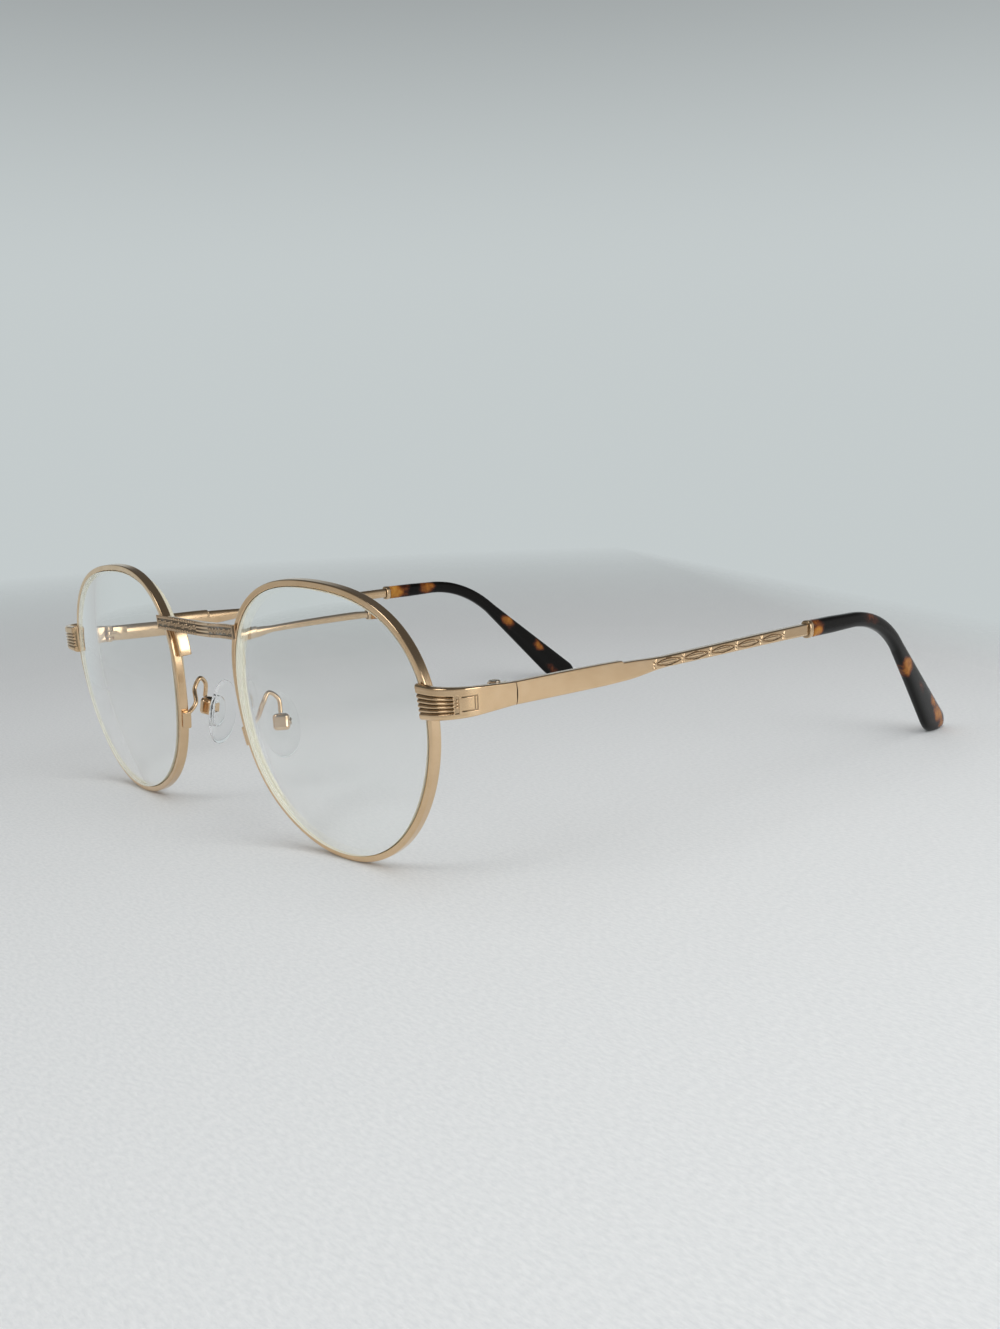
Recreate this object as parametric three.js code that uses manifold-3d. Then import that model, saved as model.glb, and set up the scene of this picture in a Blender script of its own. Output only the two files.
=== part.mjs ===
// Round metal eyeglasses with ornamented bridge, endpieces and temples.
// Millimetres. X runs to the wearer's left, Y back to the ears, Z up.
import * as THREE from 'three';
import { mergeVertices } from 'three/addons/utils/BufferGeometryUtils.js';
import Module from 'manifold-3d';

const wasm = await Module();
wasm.setup();

// Front
const NOSE_GAP = 20.5; // between the rims' nasal sides
const FRONT_TILT = 4.7; // degrees, top of the front leans forward
const FACE_WRAP = 4.4; // degrees, each eye turned back at its outer side
const HINGE_HEIGHT = 30.3; // middle of endpiece, hinge and temple above the ground
const SOLDER_GAP = 0.1; // between soldered pieces
const PIN_FIT = 0.05; // radial clearance of a screw in its bore

// Rim, an oval whose radius is changed by a few smooth waves
const RIM_WIDTH = 50;
const RIM_HEIGHT = 47.4;
const RIM_THICK = 1.1;
const RIM_DEPTH = 1.8;
const RIM_ROUND = 0.3;
const RIM_SLIT = 0.4;
const GROOVE_DEPTH = 0.4;
const GROOVE_WIDTH = 0.9;
const RIM_STEPS = 60;
// Number of waves round the loop, then the cosine and sine shares of the radius
const RIM_WAVES = [
  [2, -0.019, -0.017],
  [3, 0.009, 0.034],
  [4, -0.017, 0.006],
  [5, 0.004, -0.004],
];

// Lens
const LENS_FRONT_RADIUS = 125;
const LENS_BACK_RADIUS = 86;
const LENS_CENTRE = 1.3;
const LENS_FRONT_EDGE = 0.6; // front edge ahead of the bevel's ridge
const LENS_FIT = 0.1;

// Bridge
const BRIDGE_HEIGHT = 37.7; // middle of its ends above the ground, along the front
const BRIDGE_TALL = 2.65;
const BRIDGE_END_THICK = 0.65;
const BRIDGE_MID_THICK = 1.1;
const BRIDGE_LAP = 1.3; // over the rim's front
const BRIDGE_SETBACK = 2.3; // middle lies behind the ends
const BRIDGE_SAG = 0.85; // middle lies below the ends
const BRIDGE_GROOVES = 3;
const BRIDGE_GROOVE_DEPTH = 0.22;
const BRIDGE_MARGIN = 0.45; // plain edge above and below the grooves
const BRIDGE_ROUND = 0.15;
const LEG_DROP = 5.4;
const LEG_THICK = 1;
const LEG_LAP = 0.9; // on the rim's flank
const LEG_BACK = 1.5; // behind the rim's back

// Endpiece
const END_REACH = 1.1; // over the rim's front
const END_WIDTH = 6.847; // outer side beyond the rim's
const END_TALL = 5.55;
const END_DROP = 0.33; // inner end lies below the hinge line
const END_WALL = 1.3;
const END_INNER_RADIUS = 4.6;
const END_LENGTH = 12.8; // front face to the temple joint
const JOINT_TALL = 3.6;
const FLUTES = 5;
const FLUTE_DEPTH = 0.3;
const FLUTE_MARGIN = 0.85; // plain ridge above and below the flutes
const END_ROUND = 0.25;

// Closing block of the rim
const LOCK_WIDTH = 2.2;
const LOCK_DEPTH = 2.8;
const LOCK_TALL = 1.3;
const RIM_SCREW_RADIUS = 0.55;
const RIM_SCREW_HEAD_RADIUS = 0.9;
const RIM_SCREW_HEAD = 0.5;

// Hinge
const HINGE_SETBACK = 2; // axis ahead of the joint
const KNUCKLE_RADIUS = 1.15;
const KNUCKLE_MID = 1.3;
const KNUCKLE_OUTER = 1;
const KNUCKLE_GAP = 0.1;
const HINGE_PIN_RADIUS = 0.6;
const HINGE_HEAD_RADIUS = 0.95;
const HINGE_HEAD = 0.32;
const LEAF_THICK = 0.7;
const LEAF_LENGTH = 5;
const JOINT_GAP = 0.15;

// Temple
const TEMPLE_THICK = 1.3;
const TEMPLE_BROAD_TALL = 3.7;
const TEMPLE_BROAD = 24; // length of the broad part
const TEMPLE_TAPER = 12;
const TEMPLE_SHOULDER = 0.35; // drop of the top edge behind the broad part
const ROD_TALL = 1.95;
const ROD_END_TALL = 2.3;
const ROD_THICK = 1.5;
const TEMPLE_RISE = 0.5; // rod's end above its start
const COLLAR_AT = 77.4; // joint to ferrule
const TEMPLE_ROUND = 0.25;

// Ferrule and tip
const FERRULE_LENGTH = 1.2;
const FERRULE_TALL = 3.45;
const FERRULE_THICK = 2.4;
const CORE_TALL = 1.6;
const CORE_THICK = 1;
const CORE_FIT = 0.1;
const CORE_SHORT = 10; // core stops before the middle of the tip's round end
const BEND_AT = 104.6; // joint to the corner of the ear bend
const BEND_RADIUS = 30;
const BEND_ANGLE = 42; // degrees
const TIP_TALL = 3.3;
const TIP_BEND_TALL = 3;
const TIP_END_TALL = 7.9;
const TIP_FOOT = 3; // height that the flat foot takes off the round end
const TIP_THICK = 2.5;
const TIP_END_THICK = 2.4;
const TIP_LEAN = 6.3; // degrees, inward behind the ear bend
const TEMPLE_BOW = 1.5; // inward bow at the end of the tip

// Nose pads
const PAD_X = 9.6; // middle of each pad from the middle of the face
const PAD_Y = 7.5; // behind the front's plane
const PAD_Z = 19.6;
const PAD_SINK = 0.6; // middle of the pad below its screw
const PAD_SPLAY = 28; // degrees, front edges nearer than back edges
const PAD_FRONTAL = 10; // degrees, tops nearer than bottoms
const PAD_LONG = 12.7;
const PAD_WIDE = 7.4;
const PAD_THICK = 3;
const CORE_PLATE_LONG = 6;
const CORE_PLATE_WIDE = 3.2;
const CORE_PLATE_THICK = 0.5;
const LUG_THICK = 1.1;
const LUG_RADIUS = 0.85;
const LUG_FIT = 0.12;
const BOX_WALL = 0.95;
const BOX_LONG = 3.1;
const BOX_FLOOR = 0.75;
const PAD_SCREW_RADIUS = 0.4;
const PAD_SCREW_HEAD_RADIUS = 0.7;
const PAD_SCREW_HEAD = 0.35;
const PAD_STANDOFF = 1.4; // screw axis to the back of the pad
const ARM_RADIUS = 0.42;
const ARM_HOOK = 3.9; // hook above the box
const FOOT_TALL = 3.2;
const FOOT_THICK = 0.9;
const FOOT_Z = 18.8;
const FOOT_DEPTH = 1.5;

// Looks
const GOLD = { color: 0xd9b68c, metalness: 1, roughness: 0.32 };
const STEEL = { color: 0xc9b59a, metalness: 1, roughness: 0.3 };
const GLASS = { color: 0xe6eee8, metalness: 0, roughness: 0.05, transparent: true, opacity: 0.35 };
const SILICONE = { color: 0xeef2f0, metalness: 0, roughness: 0.25, transparent: true, opacity: 0.6 };
const CLEAR = { color: 0xe9efec, metalness: 0, roughness: 0.15, transparent: true, opacity: 0.5 };
const TORTOISE = { color: 0x3a2312, metalness: 0, roughness: 0.15 };

const radians = THREE.MathUtils.degToRad;
const lerp = THREE.MathUtils.lerp;
const smooth = THREE.MathUtils.smoothstep;

function piece(name, geometry, look) {
  const mesh = new THREE.Mesh(geometry, new THREE.MeshStandardMaterial(look));
  mesh.name = name;
  return mesh;
}

// Closed solid through a row of rings that have the same number of points.
// An end is closed flat, or drawn together in a point.
function skin(rings, startPoint, endPoint) {
  const count = rings[0].length;
  const points = rings.flat();
  const faces = [];
  for (let i = 0; i + 1 < rings.length; i += 1) {
    for (let j = 0; j < count; j += 1) {
      const k = (j + 1) % count;
      const a = i * count + j;
      const b = i * count + k;
      faces.push(a, b, b + count, a, b + count, a + count);
    }
  }
  closeEnd(rings[0], 0, startPoint, points, faces, true);
  closeEnd(rings[rings.length - 1], (rings.length - 1) * count, endPoint, points, faces, false);
  const geometry = new THREE.BufferGeometry().setFromPoints(points);
  geometry.setIndex(signedVolume(points, faces) < 0 ? faces.reverse() : faces);
  geometry.computeVertexNormals();
  return geometry;
}

function closeEnd(ring, offset, apex, points, faces, first) {
  let triangles;
  if (apex) {
    points.push(apex);
    const tip = points.length - 1 - offset;
    triangles = ring.map((_, j) => [j, (j + 1) % ring.length, tip]);
  } else {
    triangles = flatTriangles(ring);
  }
  for (const [a, b, c] of triangles) {
    const turned = first ? [a, c, b] : [a, b, c];
    faces.push(...turned.map((index) => index + offset));
  }
}

// Triangles of a flat ring, in the ring's own turning sense
function flatTriangles(ring) {
  const normal = new THREE.Vector3();
  ring.forEach((p, j) => normal.add(p.clone().cross(ring[(j + 1) % ring.length])));
  normal.normalize();
  const across = ring[1].clone().sub(ring[0]).normalize();
  const along = normal.clone().cross(across);
  const flat = ring.map((p) => new THREE.Vector2(p.dot(across), p.dot(along)));
  return THREE.ShapeUtils.triangulateShape(flat, []);
}

function signedVolume(points, faces) {
  let volume = 0;
  for (let i = 0; i < faces.length; i += 3) {
    const [a, b, c] = [points[faces[i]], points[faces[i + 1]], points[faces[i + 2]]];
    volume += a.dot(b.clone().cross(c));
  }
  return volume;
}

function toManifold(geometry) {
  const bare = geometry.clone();
  bare.deleteAttribute('normal');
  bare.deleteAttribute('uv');
  const merged = mergeVertices(bare, 1e-4);
  return new wasm.Manifold(new wasm.Mesh({
    numProp: 3,
    vertProperties: new Float32Array(merged.attributes.position.array),
    triVerts: new Uint32Array(merged.index.array),
  }));
}

function toGeometry(solid) {
  const mesh = solid.getMesh();
  const geometry = new THREE.BufferGeometry();
  geometry.setAttribute('position', new THREE.BufferAttribute(mesh.vertProperties, 3));
  geometry.setIndex(new THREE.BufferAttribute(mesh.triVerts, 1));
  geometry.computeVertexNormals();
  return geometry;
}

function cut(base, ...tools) {
  return toGeometry(tools.reduce((solid, tool) => solid.subtract(toManifold(tool)), toManifold(base)));
}

function join(base, ...others) {
  return toGeometry(others.reduce((solid, other) => solid.add(toManifold(other)), toManifold(base)));
}

// Box between two corners
function block(x0, x1, y0, y1, z0, z1) {
  const geometry = new THREE.BoxGeometry(x1 - x0, y1 - y0, z1 - z0);
  return geometry.translate((x0 + x1) / 2, (y0 + y1) / 2, (z0 + z1) / 2);
}

// Upright cylinder between two heights
function post(x, y, z0, z1, radius, sides = 16) {
  const geometry = new THREE.CylinderGeometry(radius, radius, z1 - z0, sides);
  return geometry.rotateX(Math.PI / 2).translate(x, y, (z0 + z1) / 2);
}

// Slotted screw standing on Z, its head above or below the shank
function screw(headRadius, headTall, shankRadius, shankLong) {
  const slot = block(-headRadius, headRadius, -0.1, 0.1, headTall * 0.55, headTall + 1);
  const profile = [
    new THREE.Vector2(0, -shankLong),
    new THREE.Vector2(shankRadius * 0.8, -shankLong),
    new THREE.Vector2(shankRadius, -shankLong + shankRadius * 0.3),
    new THREE.Vector2(shankRadius, 0),
    new THREE.Vector2(headRadius, 0),
    new THREE.Vector2(headRadius, headTall * 0.6),
    new THREE.Vector2(headRadius * 0.75, headTall),
    new THREE.Vector2(0, headTall),
  ];
  return cut(new THREE.LatheGeometry(profile, 16).rotateX(Math.PI / 2), slot);
}

// Rim outline

function wavePoint(angle) {
  let share = 1;
  for (const [waves, cosine, sine] of RIM_WAVES) {
    share += cosine * Math.cos(waves * angle) + sine * Math.sin(waves * angle);
  }
  return new THREE.Vector2(Math.cos(angle) * share, Math.sin(angle) * share);
}

const waveBox = new THREE.Box2();
for (let i = 0; i < 720; i += 1) {
  waveBox.expandByPoint(wavePoint(i * Math.PI / 360));
}
const waveSize = waveBox.getSize(new THREE.Vector2());

// Point in the rim's plane: x from its nasal side, y from its lowest point.
// The middle line of the wire has inset 0, its outer side half of RIM_THICK.
function rimPoint(angle, inset = 0) {
  const scale = (p) => new THREE.Vector2(
    RIM_THICK / 2 + (p.x - waveBox.min.x) / waveSize.x * (RIM_WIDTH - RIM_THICK),
    RIM_THICK / 2 + (p.y - waveBox.min.y) / waveSize.y * (RIM_HEIGHT - RIM_THICK),
  );
  const step = 1e-3;
  const ahead = scale(wavePoint(angle + step)).sub(scale(wavePoint(angle - step))).normalize();
  const outward = new THREE.Vector2(ahead.y, -ahead.x);
  return scale(wavePoint(angle)).addScaledVector(outward, inset);
}

// Rim plane to the side's frame: depth runs back from the wire's middle
const frontMatrix = new THREE.Matrix4().makeRotationX(radians(FRONT_TILT));
const eyeMatrix = frontMatrix.clone()
  .multiply(new THREE.Matrix4().makeTranslation(NOSE_GAP / 2, 0, 0))
  .multiply(new THREE.Matrix4().makeRotationZ(radians(FACE_WRAP)));

function inEye(point, depth) {
  return new THREE.Vector3(point.x, depth, point.y);
}

function fromEye(point, depth) {
  return inEye(point, depth).applyMatrix4(eyeMatrix);
}

// Angle at which the rim's middle line reaches a height along the front
function rimAngle(height, temporal) {
  let low = temporal ? -Math.PI / 3 : Math.PI * 4 / 3;
  let high = temporal ? Math.PI / 3 : Math.PI * 2 / 3;
  for (let i = 0; i < 40; i += 1) {
    const middle = (low + high) / 2;
    if (rimPoint(middle).y < height) {
      low = middle;
    } else {
      high = middle;
    }
  }
  return (low + high) / 2;
}

const rimOut = RIM_THICK / 2;
const rimHalf = RIM_DEPTH / 2;
const slitAngle = rimAngle(HINGE_HEIGHT, true);
const rimAngles = Array.from({ length: RIM_STEPS }, (_, i) => slitAngle + i / RIM_STEPS * 2 * Math.PI);
// Section of the wire: inset from its middle line, depth behind its middle plane
const rimSection = [
  [-rimOut, -rimHalf], [rimOut - RIM_ROUND, -rimHalf],
  [rimOut, -rimHalf + RIM_ROUND], [rimOut, rimHalf - RIM_ROUND],
  [rimOut - RIM_ROUND, rimHalf], [-rimOut, rimHalf],
  [-rimOut, GROOVE_WIDTH / 2], [-rimOut + GROOVE_DEPTH, 0], [-rimOut, -GROOVE_WIDTH / 2],
];
const groundZ = Math.min(...rimAngles.flatMap((angle) => rimSection.map(
  ([inset, depth]) => fromEye(rimPoint(angle, inset), depth).z,
)));

// Places worked out from the driving dimensions, in the side's frame
const rimOuterX = Math.max(...rimAngles.map((angle) => fromEye(rimPoint(angle, rimOut), rimHalf * -1).x));
const halfWidth = rimOuterX + END_WIDTH;
const endMiddle = new THREE.Vector2(RIM_WIDTH - END_REACH, HINGE_HEIGHT);
const endLean = Math.tan(radians(FRONT_TILT));
const endBackY = fromEye(endMiddle, -rimHalf).y - SOLDER_GAP;
const endFrontY = endBackY - END_WALL;
const jointY = endFrontY + END_LENGTH;
const axisX = halfWidth - END_WALL - SOLDER_GAP - KNUCKLE_RADIUS;
const axisY = jointY - HINGE_SETBACK;
const knuckleHalf = KNUCKLE_MID / 2;
const hingeHalf = knuckleHalf + KNUCKLE_GAP + KNUCKLE_OUTER;

// Rim and lens

function rimGeometry() {
  const halfSlit = RIM_SLIT / RIM_WIDTH;
  const angles = [slitAngle + halfSlit, ...rimAngles.slice(1), slitAngle + 2 * Math.PI - halfSlit];
  return skin(angles.map((angle) => rimSection.map(
    ([inset, depth]) => inEye(rimPoint(angle, inset), depth),
  )));
}

function lensGeometry() {
  const middle = new THREE.Vector2(RIM_WIDTH / 2, RIM_HEIGHT / 2);
  const edge = rimAngles.map((angle) => rimPoint(angle, -rimOut - LENS_FIT));
  const reach = Math.max(...edge.map((p) => p.distanceTo(middle)));
  const sag = (radius, distance) => radius - Math.sqrt(radius * radius - distance * distance);
  const frontMiddle = -LENS_FRONT_EDGE - sag(LENS_FRONT_RADIUS, reach);
  const dome = (radius, start, share) => edge.map((p) => {
    const q = middle.clone().lerp(p, share);
    return inEye(q, start + sag(radius, q.distanceTo(middle)));
  });
  const bevelHalf = GROOVE_WIDTH / 2 - LENS_FIT;
  const bevelBase = (depth) => edge.map((p) => inEye(p, depth));
  const ridge = rimAngles.map((angle) => inEye(rimPoint(angle, -rimOut + GROOVE_DEPTH - LENS_FIT), 0));
  const backMiddle = frontMiddle + LENS_CENTRE;
  const shares = [0.4, 0.75, 1];
  return skin(
    [
      ...shares.map((share) => dome(LENS_FRONT_RADIUS, frontMiddle, share)),
      bevelBase(-bevelHalf), ridge, bevelBase(bevelHalf),
      ...shares.reverse().map((share) => dome(LENS_BACK_RADIUS, backMiddle, share)),
    ],
    inEye(middle, frontMiddle),
    inEye(middle, backMiddle),
  );
}

// Plate that follows the rim's nasal flank between two heights
function flankPlate(low, high, thick, front, back) {
  const near = rimOut + SOLDER_GAP;
  const section = [[near, front], [near + thick, front], [near + thick, back], [near, back]];
  const steps = 4;
  const rings = [];
  for (let i = 0; i <= steps; i += 1) {
    const angle = rimAngle(lerp(low, high, i / steps), false);
    rings.push(section.map(([inset, depth]) => inEye(rimPoint(angle, inset), depth)));
  }
  return skin(rings);
}

function legGeometry() {
  const top = BRIDGE_HEIGHT - BRIDGE_TALL / 2 - SOLDER_GAP;
  return flankPlate(top - LEG_DROP, top, LEG_THICK, rimHalf - LEG_LAP, rimHalf + LEG_BACK);
}

// Bridge, in the front's frame

const bridgeLowSide = rimPoint(rimAngle(BRIDGE_HEIGHT - BRIDGE_TALL / 2, false), rimOut);
const bridgeEndSide = rimPoint(rimAngle(BRIDGE_HEIGHT, false), rimOut);
const bridgeBend = NOSE_GAP / 2 + bridgeLowSide.x - 0.3;
const bridgeEnd = NOSE_GAP / 2 + bridgeEndSide.x + BRIDGE_LAP;
const bridgeBackW = -rimHalf + bridgeLowSide.x * Math.sin(radians(FACE_WRAP)) - SOLDER_GAP;

function bridgeGeometry() {
  const steps = 20;
  const rings = [];
  const section = groovedSection(
    BRIDGE_TALL, BRIDGE_GROOVES, BRIDGE_GROOVE_DEPTH, BRIDGE_MARGIN, BRIDGE_ROUND,
  );
  for (let i = 0; i <= steps; i += 1) {
    const x = lerp(-bridgeEnd, bridgeEnd, i / steps);
    const middle = 0.5 + 0.5 * Math.cos(Math.PI * Math.min(1, Math.abs(x) / bridgeBend));
    const back = bridgeBackW + BRIDGE_SETBACK * middle;
    const front = back - lerp(BRIDGE_END_THICK, BRIDGE_MID_THICK, middle);
    const height = BRIDGE_HEIGHT - BRIDGE_SAG * middle;
    rings.push(section.map(
      ([level, sunk]) => new THREE.Vector3(x, sunk === null ? back : front + sunk, height + level),
    ));
  }
  return skin(rings);
}

// Levels across a grooved face with how far each is sunk; null marks the flat back
function groovedSection(tall, grooves, depth, margin, round) {
  const half = tall / 2;
  const section = [[-half, round], [-half + round, 0]];
  for (let i = 0; i <= grooves * 2; i += 1) {
    section.push([lerp(-half + margin, half - margin, i / grooves / 2), i % 2 ? depth : 0]);
  }
  section.push([half - round, 0], [half, round], [half, null], [-half, null]);
  return section;
}

// Endpiece, bent from the rim's front round the corner to the joint

function endpieceGeometry() {
  const radius = END_WALL + END_INNER_RADIUS;
  const cornerX = halfWidth - radius;
  const cornerY = endFrontY + radius;
  const rimSide = (z) => fromEye(rimPoint(rimAngle(z, true), rimOut), -rimHalf).x - END_REACH;
  const innerX = rimSide(HINGE_HEIGHT);
  const frontLong = cornerX - innerX;
  const bendLength = radius * Math.PI / 2;
  const whole = frontLong + bendLength + jointY - cornerY;
  // Each station: place, turn, way along the piece, how far its face is sunk,
  // share of the flutes' depth and share of the rim's slope that it follows
  const stations = [
    { x: innerX, y: endFrontY, turn: 0, way: 0, sunk: 0.45, flute: 0.6, follow: 0.5 },
    { x: innerX + 0.45, y: endFrontY, turn: 0, way: 0.45, sunk: 0, flute: 1, follow: 0.5 },
    { x: cornerX, y: endFrontY, turn: 0, way: frontLong, sunk: 0, flute: 1, follow: 0 },
  ];
  for (const share of [0.17, 0.33, 0.5, 0.67, 0.83, 1]) {
    const turn = share * Math.PI / 2;
    const x = cornerX + radius * Math.sin(turn);
    const y = cornerY - radius * Math.cos(turn);
    const way = frontLong + bendLength * share;
    stations.push({ x, y, turn, way, sunk: 0, flute: share < 0.6 ? 1 : 0, follow: 0 });
  }
  const side = Math.PI / 2;
  stations.push({ x: halfWidth, y: jointY, turn: side, way: whole, sunk: 0, flute: 0, follow: 0 });
  return skin(stations.map(({ x, y, turn, way, sunk, flute, follow }) => {
    const tall = lerp(END_TALL, JOINT_TALL, way / whole);
    const lean = endLean * (1 - smooth(way, frontLong, frontLong + bendLength));
    const section = groovedSection(tall, FLUTES, FLUTE_DEPTH * flute, FLUTE_MARGIN, END_ROUND);
    return section.map(([level, groove]) => {
      const inward = groove === null ? END_WALL : groove + sunk;
      const z = HINGE_HEIGHT + level - END_DROP * (1 - smooth(way, 0, frontLong + bendLength));
      return new THREE.Vector3(
        x + (rimSide(z) - innerX) * follow - inward * Math.sin(turn),
        y + inward * Math.cos(turn) - level * lean,
        z,
      );
    });
  }));
}

// Closing block

const lockX = rimOuterX + SOLDER_GAP;
// The endpiece's inner side has begun to bend at the block's outer side
const lockPast = Math.max(0, lockX + LOCK_WIDTH - (halfWidth - END_WALL - END_INNER_RADIUS));
const lockBend = END_INNER_RADIUS - Math.sqrt(END_INNER_RADIUS ** 2 - lockPast ** 2);
const lockY = endBackY + SOLDER_GAP + endLean * END_TALL / 2 + lockBend;
const lockScrewX = lockX + LOCK_WIDTH / 2;
const lockScrewY = lockY + LOCK_DEPTH / 2;

function lockGeometry(upper) {
  const near = HINGE_HEIGHT + (upper ? RIM_SLIT / 2 : -RIM_SLIT / 2);
  const far = near + (upper ? LOCK_TALL : -LOCK_TALL);
  const [z0, z1] = [Math.min(near, far), Math.max(near, far)];
  return cut(
    block(lockX, lockX + LOCK_WIDTH, lockY, lockY + LOCK_DEPTH, z0, z1),
    post(lockScrewX, lockScrewY, z0 - 1, z1 + 1, RIM_SCREW_RADIUS + PIN_FIT),
  );
}

// Hinge

function knuckle(z0, z1) {
  return post(axisX, axisY, z0, z1, KNUCKLE_RADIUS, 20);
}

function pinBore() {
  const half = hingeHalf + 1;
  return post(axisX, axisY, HINGE_HEIGHT - half, HINGE_HEIGHT + half, HINGE_PIN_RADIUS + PIN_FIT);
}

function hingeFrontGeometry() {
  const outer = halfWidth - END_WALL - SOLDER_GAP;
  const slotHalf = knuckleHalf + KNUCKLE_GAP;
  const low = HINGE_HEIGHT - hingeHalf;
  const high = HINGE_HEIGHT + hingeHalf;
  const leaf = block(outer - LEAF_THICK, outer, axisY - LEAF_LENGTH, jointY - JOINT_GAP, low, high);
  const slot = block(
    outer - LEAF_THICK - 1, outer + 1, axisY - KNUCKLE_RADIUS - KNUCKLE_GAP, jointY + 1,
    HINGE_HEIGHT - slotHalf, HINGE_HEIGHT + slotHalf,
  );
  return cut(
    join(cut(leaf, slot), knuckle(low, HINGE_HEIGHT - slotHalf), knuckle(HINGE_HEIGHT + slotHalf, high)),
    pinBore(),
  );
}

function hingeTempleGeometry() {
  const outer = halfWidth - TEMPLE_THICK - SOLDER_GAP;
  const start = jointY + JOINT_GAP * 2;
  const [low, high] = [HINGE_HEIGHT - knuckleHalf, HINGE_HEIGHT + knuckleHalf];
  const leaf = block(
    outer - LEAF_THICK, outer, start, start + LEAF_LENGTH,
    HINGE_HEIGHT - JOINT_TALL * 0.42, HINGE_HEIGHT + JOINT_TALL * 0.42,
  );
  const arm = block(Math.min(axisX, outer - LEAF_THICK), outer, axisY, start + 1, low, high);
  return cut(join(leaf, arm, knuckle(low, high)), pinBore());
}

function hingeScrewGeometry() {
  const shank = hingeHalf * 2;
  const geometry = screw(HINGE_HEAD_RADIUS, HINGE_HEAD, HINGE_PIN_RADIUS, shank);
  return geometry.translate(axisX, axisY, HINGE_HEIGHT + hingeHalf + PIN_FIT);
}

// Temple path: distance from the joint to a place and a downward turn

const bendTurn = radians(BEND_ANGLE);
const bendStart = BEND_AT - BEND_RADIUS * Math.tan(bendTurn / 2);
const bendLong = BEND_RADIUS * bendTurn;
const rodZ = HINGE_HEIGHT + TEMPLE_RISE;
const bendDrop = BEND_RADIUS * (1 - Math.cos(bendTurn));
const tipRound = TIP_END_TALL / 2;
const dropLong = (rodZ - bendDrop - groundZ - tipRound + TIP_FOOT) / Math.sin(bendTurn);
const pathLong = bendStart + bendLong + dropLong;
const tipLean = Math.tan(radians(TIP_LEAN));

function templePlace(distance) {
  const turn = Math.min(bendTurn, Math.max(0, distance - bendStart) / BEND_RADIUS);
  const past = Math.max(0, distance - bendStart - bendLong);
  const straight = Math.min(distance, bendStart);
  const y = jointY + straight + BEND_RADIUS * Math.sin(turn) + past * Math.cos(bendTurn);
  const fall = BEND_RADIUS * (1 - Math.cos(turn)) + past * Math.sin(bendTurn);
  const z = HINGE_HEIGHT + TEMPLE_RISE * smooth(distance, TEMPLE_BROAD, COLLAR_AT) - fall;
  const bow = Math.max(0, distance - TEMPLE_BROAD) / (pathLong - TEMPLE_BROAD);
  const behind = Math.min(bendLong, Math.max(0, distance - bendStart));
  const lean = tipLean * (behind * behind / bendLong / 2 + past);
  return { x: halfWidth - TEMPLE_BOW * bow * bow - lean, y, z, turn };
}

// Ring across the path; each point is [inward from the outer side, up]
function templeRing(distance, section, inset = 0) {
  const { x, y, z, turn } = templePlace(distance);
  return section.map(([inward, up]) => new THREE.Vector3(
    x - inset - inward, y + up * Math.sin(turn), z + up * Math.cos(turn),
  ));
}

// Flat bar section with cut corners, from top and bottom heights
function barSection(thick, bottom, top, round = TEMPLE_ROUND) {
  return [
    [0, bottom + round], [round, bottom], [thick - round, bottom], [thick, bottom + round],
    [thick, top - round], [thick - round, top], [round, top], [0, top - round],
  ];
}

function coreSection(fit) {
  const middle = ROD_THICK / 2;
  const [half, high] = [CORE_THICK / 2 + fit, CORE_TALL / 2 + fit];
  return barSection(half * 2, -high, high, 0.2).map(([inward, up]) => [inward + middle - half, up]);
}

function coreStations(start) {
  const end = pathLong - CORE_SHORT;
  const stations = [start, bendStart];
  for (let i = 1; i <= 4; i += 1) {
    stations.push(bendStart + bendLong * i / 4);
  }
  return [...stations, end];
}

function templeGeometry() {
  const broad = TEMPLE_BROAD_TALL / 2;
  const shoulder = broad * 0.93 - TEMPLE_SHOULDER;
  const taperEnd = TEMPLE_BROAD + TEMPLE_TAPER;
  const rings = [
    templeRing(JOINT_GAP, barSection(TEMPLE_THICK, -JOINT_TALL / 2, JOINT_TALL / 2)),
    templeRing(TEMPLE_BROAD * 0.45, barSection(TEMPLE_THICK, -broad, broad)),
    templeRing(TEMPLE_BROAD * 0.85, barSection(TEMPLE_THICK, -broad, broad * 0.97)),
    templeRing(TEMPLE_BROAD, barSection(TEMPLE_THICK, -broad * 0.95, broad * 0.93)),
    templeRing(TEMPLE_BROAD + 0.3, barSection(TEMPLE_THICK, -broad * 0.93, shoulder)),
  ];
  for (const share of [0.3, 0.6, 1]) {
    const ease = smooth(share, 0, 1);
    rings.push(templeRing(TEMPLE_BROAD + 0.3 + (TEMPLE_TAPER - 0.3) * share, barSection(
      lerp(TEMPLE_THICK, ROD_THICK, ease),
      lerp(-broad * 0.93, -ROD_TALL / 2, ease),
      lerp(shoulder, ROD_TALL / 2, ease),
    )));
  }
  for (const share of [0.35, 0.7, 1]) {
    const half = lerp(ROD_TALL, ROD_END_TALL, share) / 2;
    const stop = COLLAR_AT - SOLDER_GAP;
    rings.push(templeRing(lerp(taperEnd, stop, share), barSection(ROD_THICK, -half, half)));
  }
  for (const distance of coreStations(COLLAR_AT - SOLDER_GAP + 0.05)) {
    rings.push(templeRing(distance, coreSection(0)));
  }
  return skin(rings);
}

function coreChannel(start) {
  const stations = coreStations(start);
  stations[stations.length - 1] += CORE_FIT * 2;
  return skin(stations.map((distance) => templeRing(distance, coreSection(CORE_FIT))));
}

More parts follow.
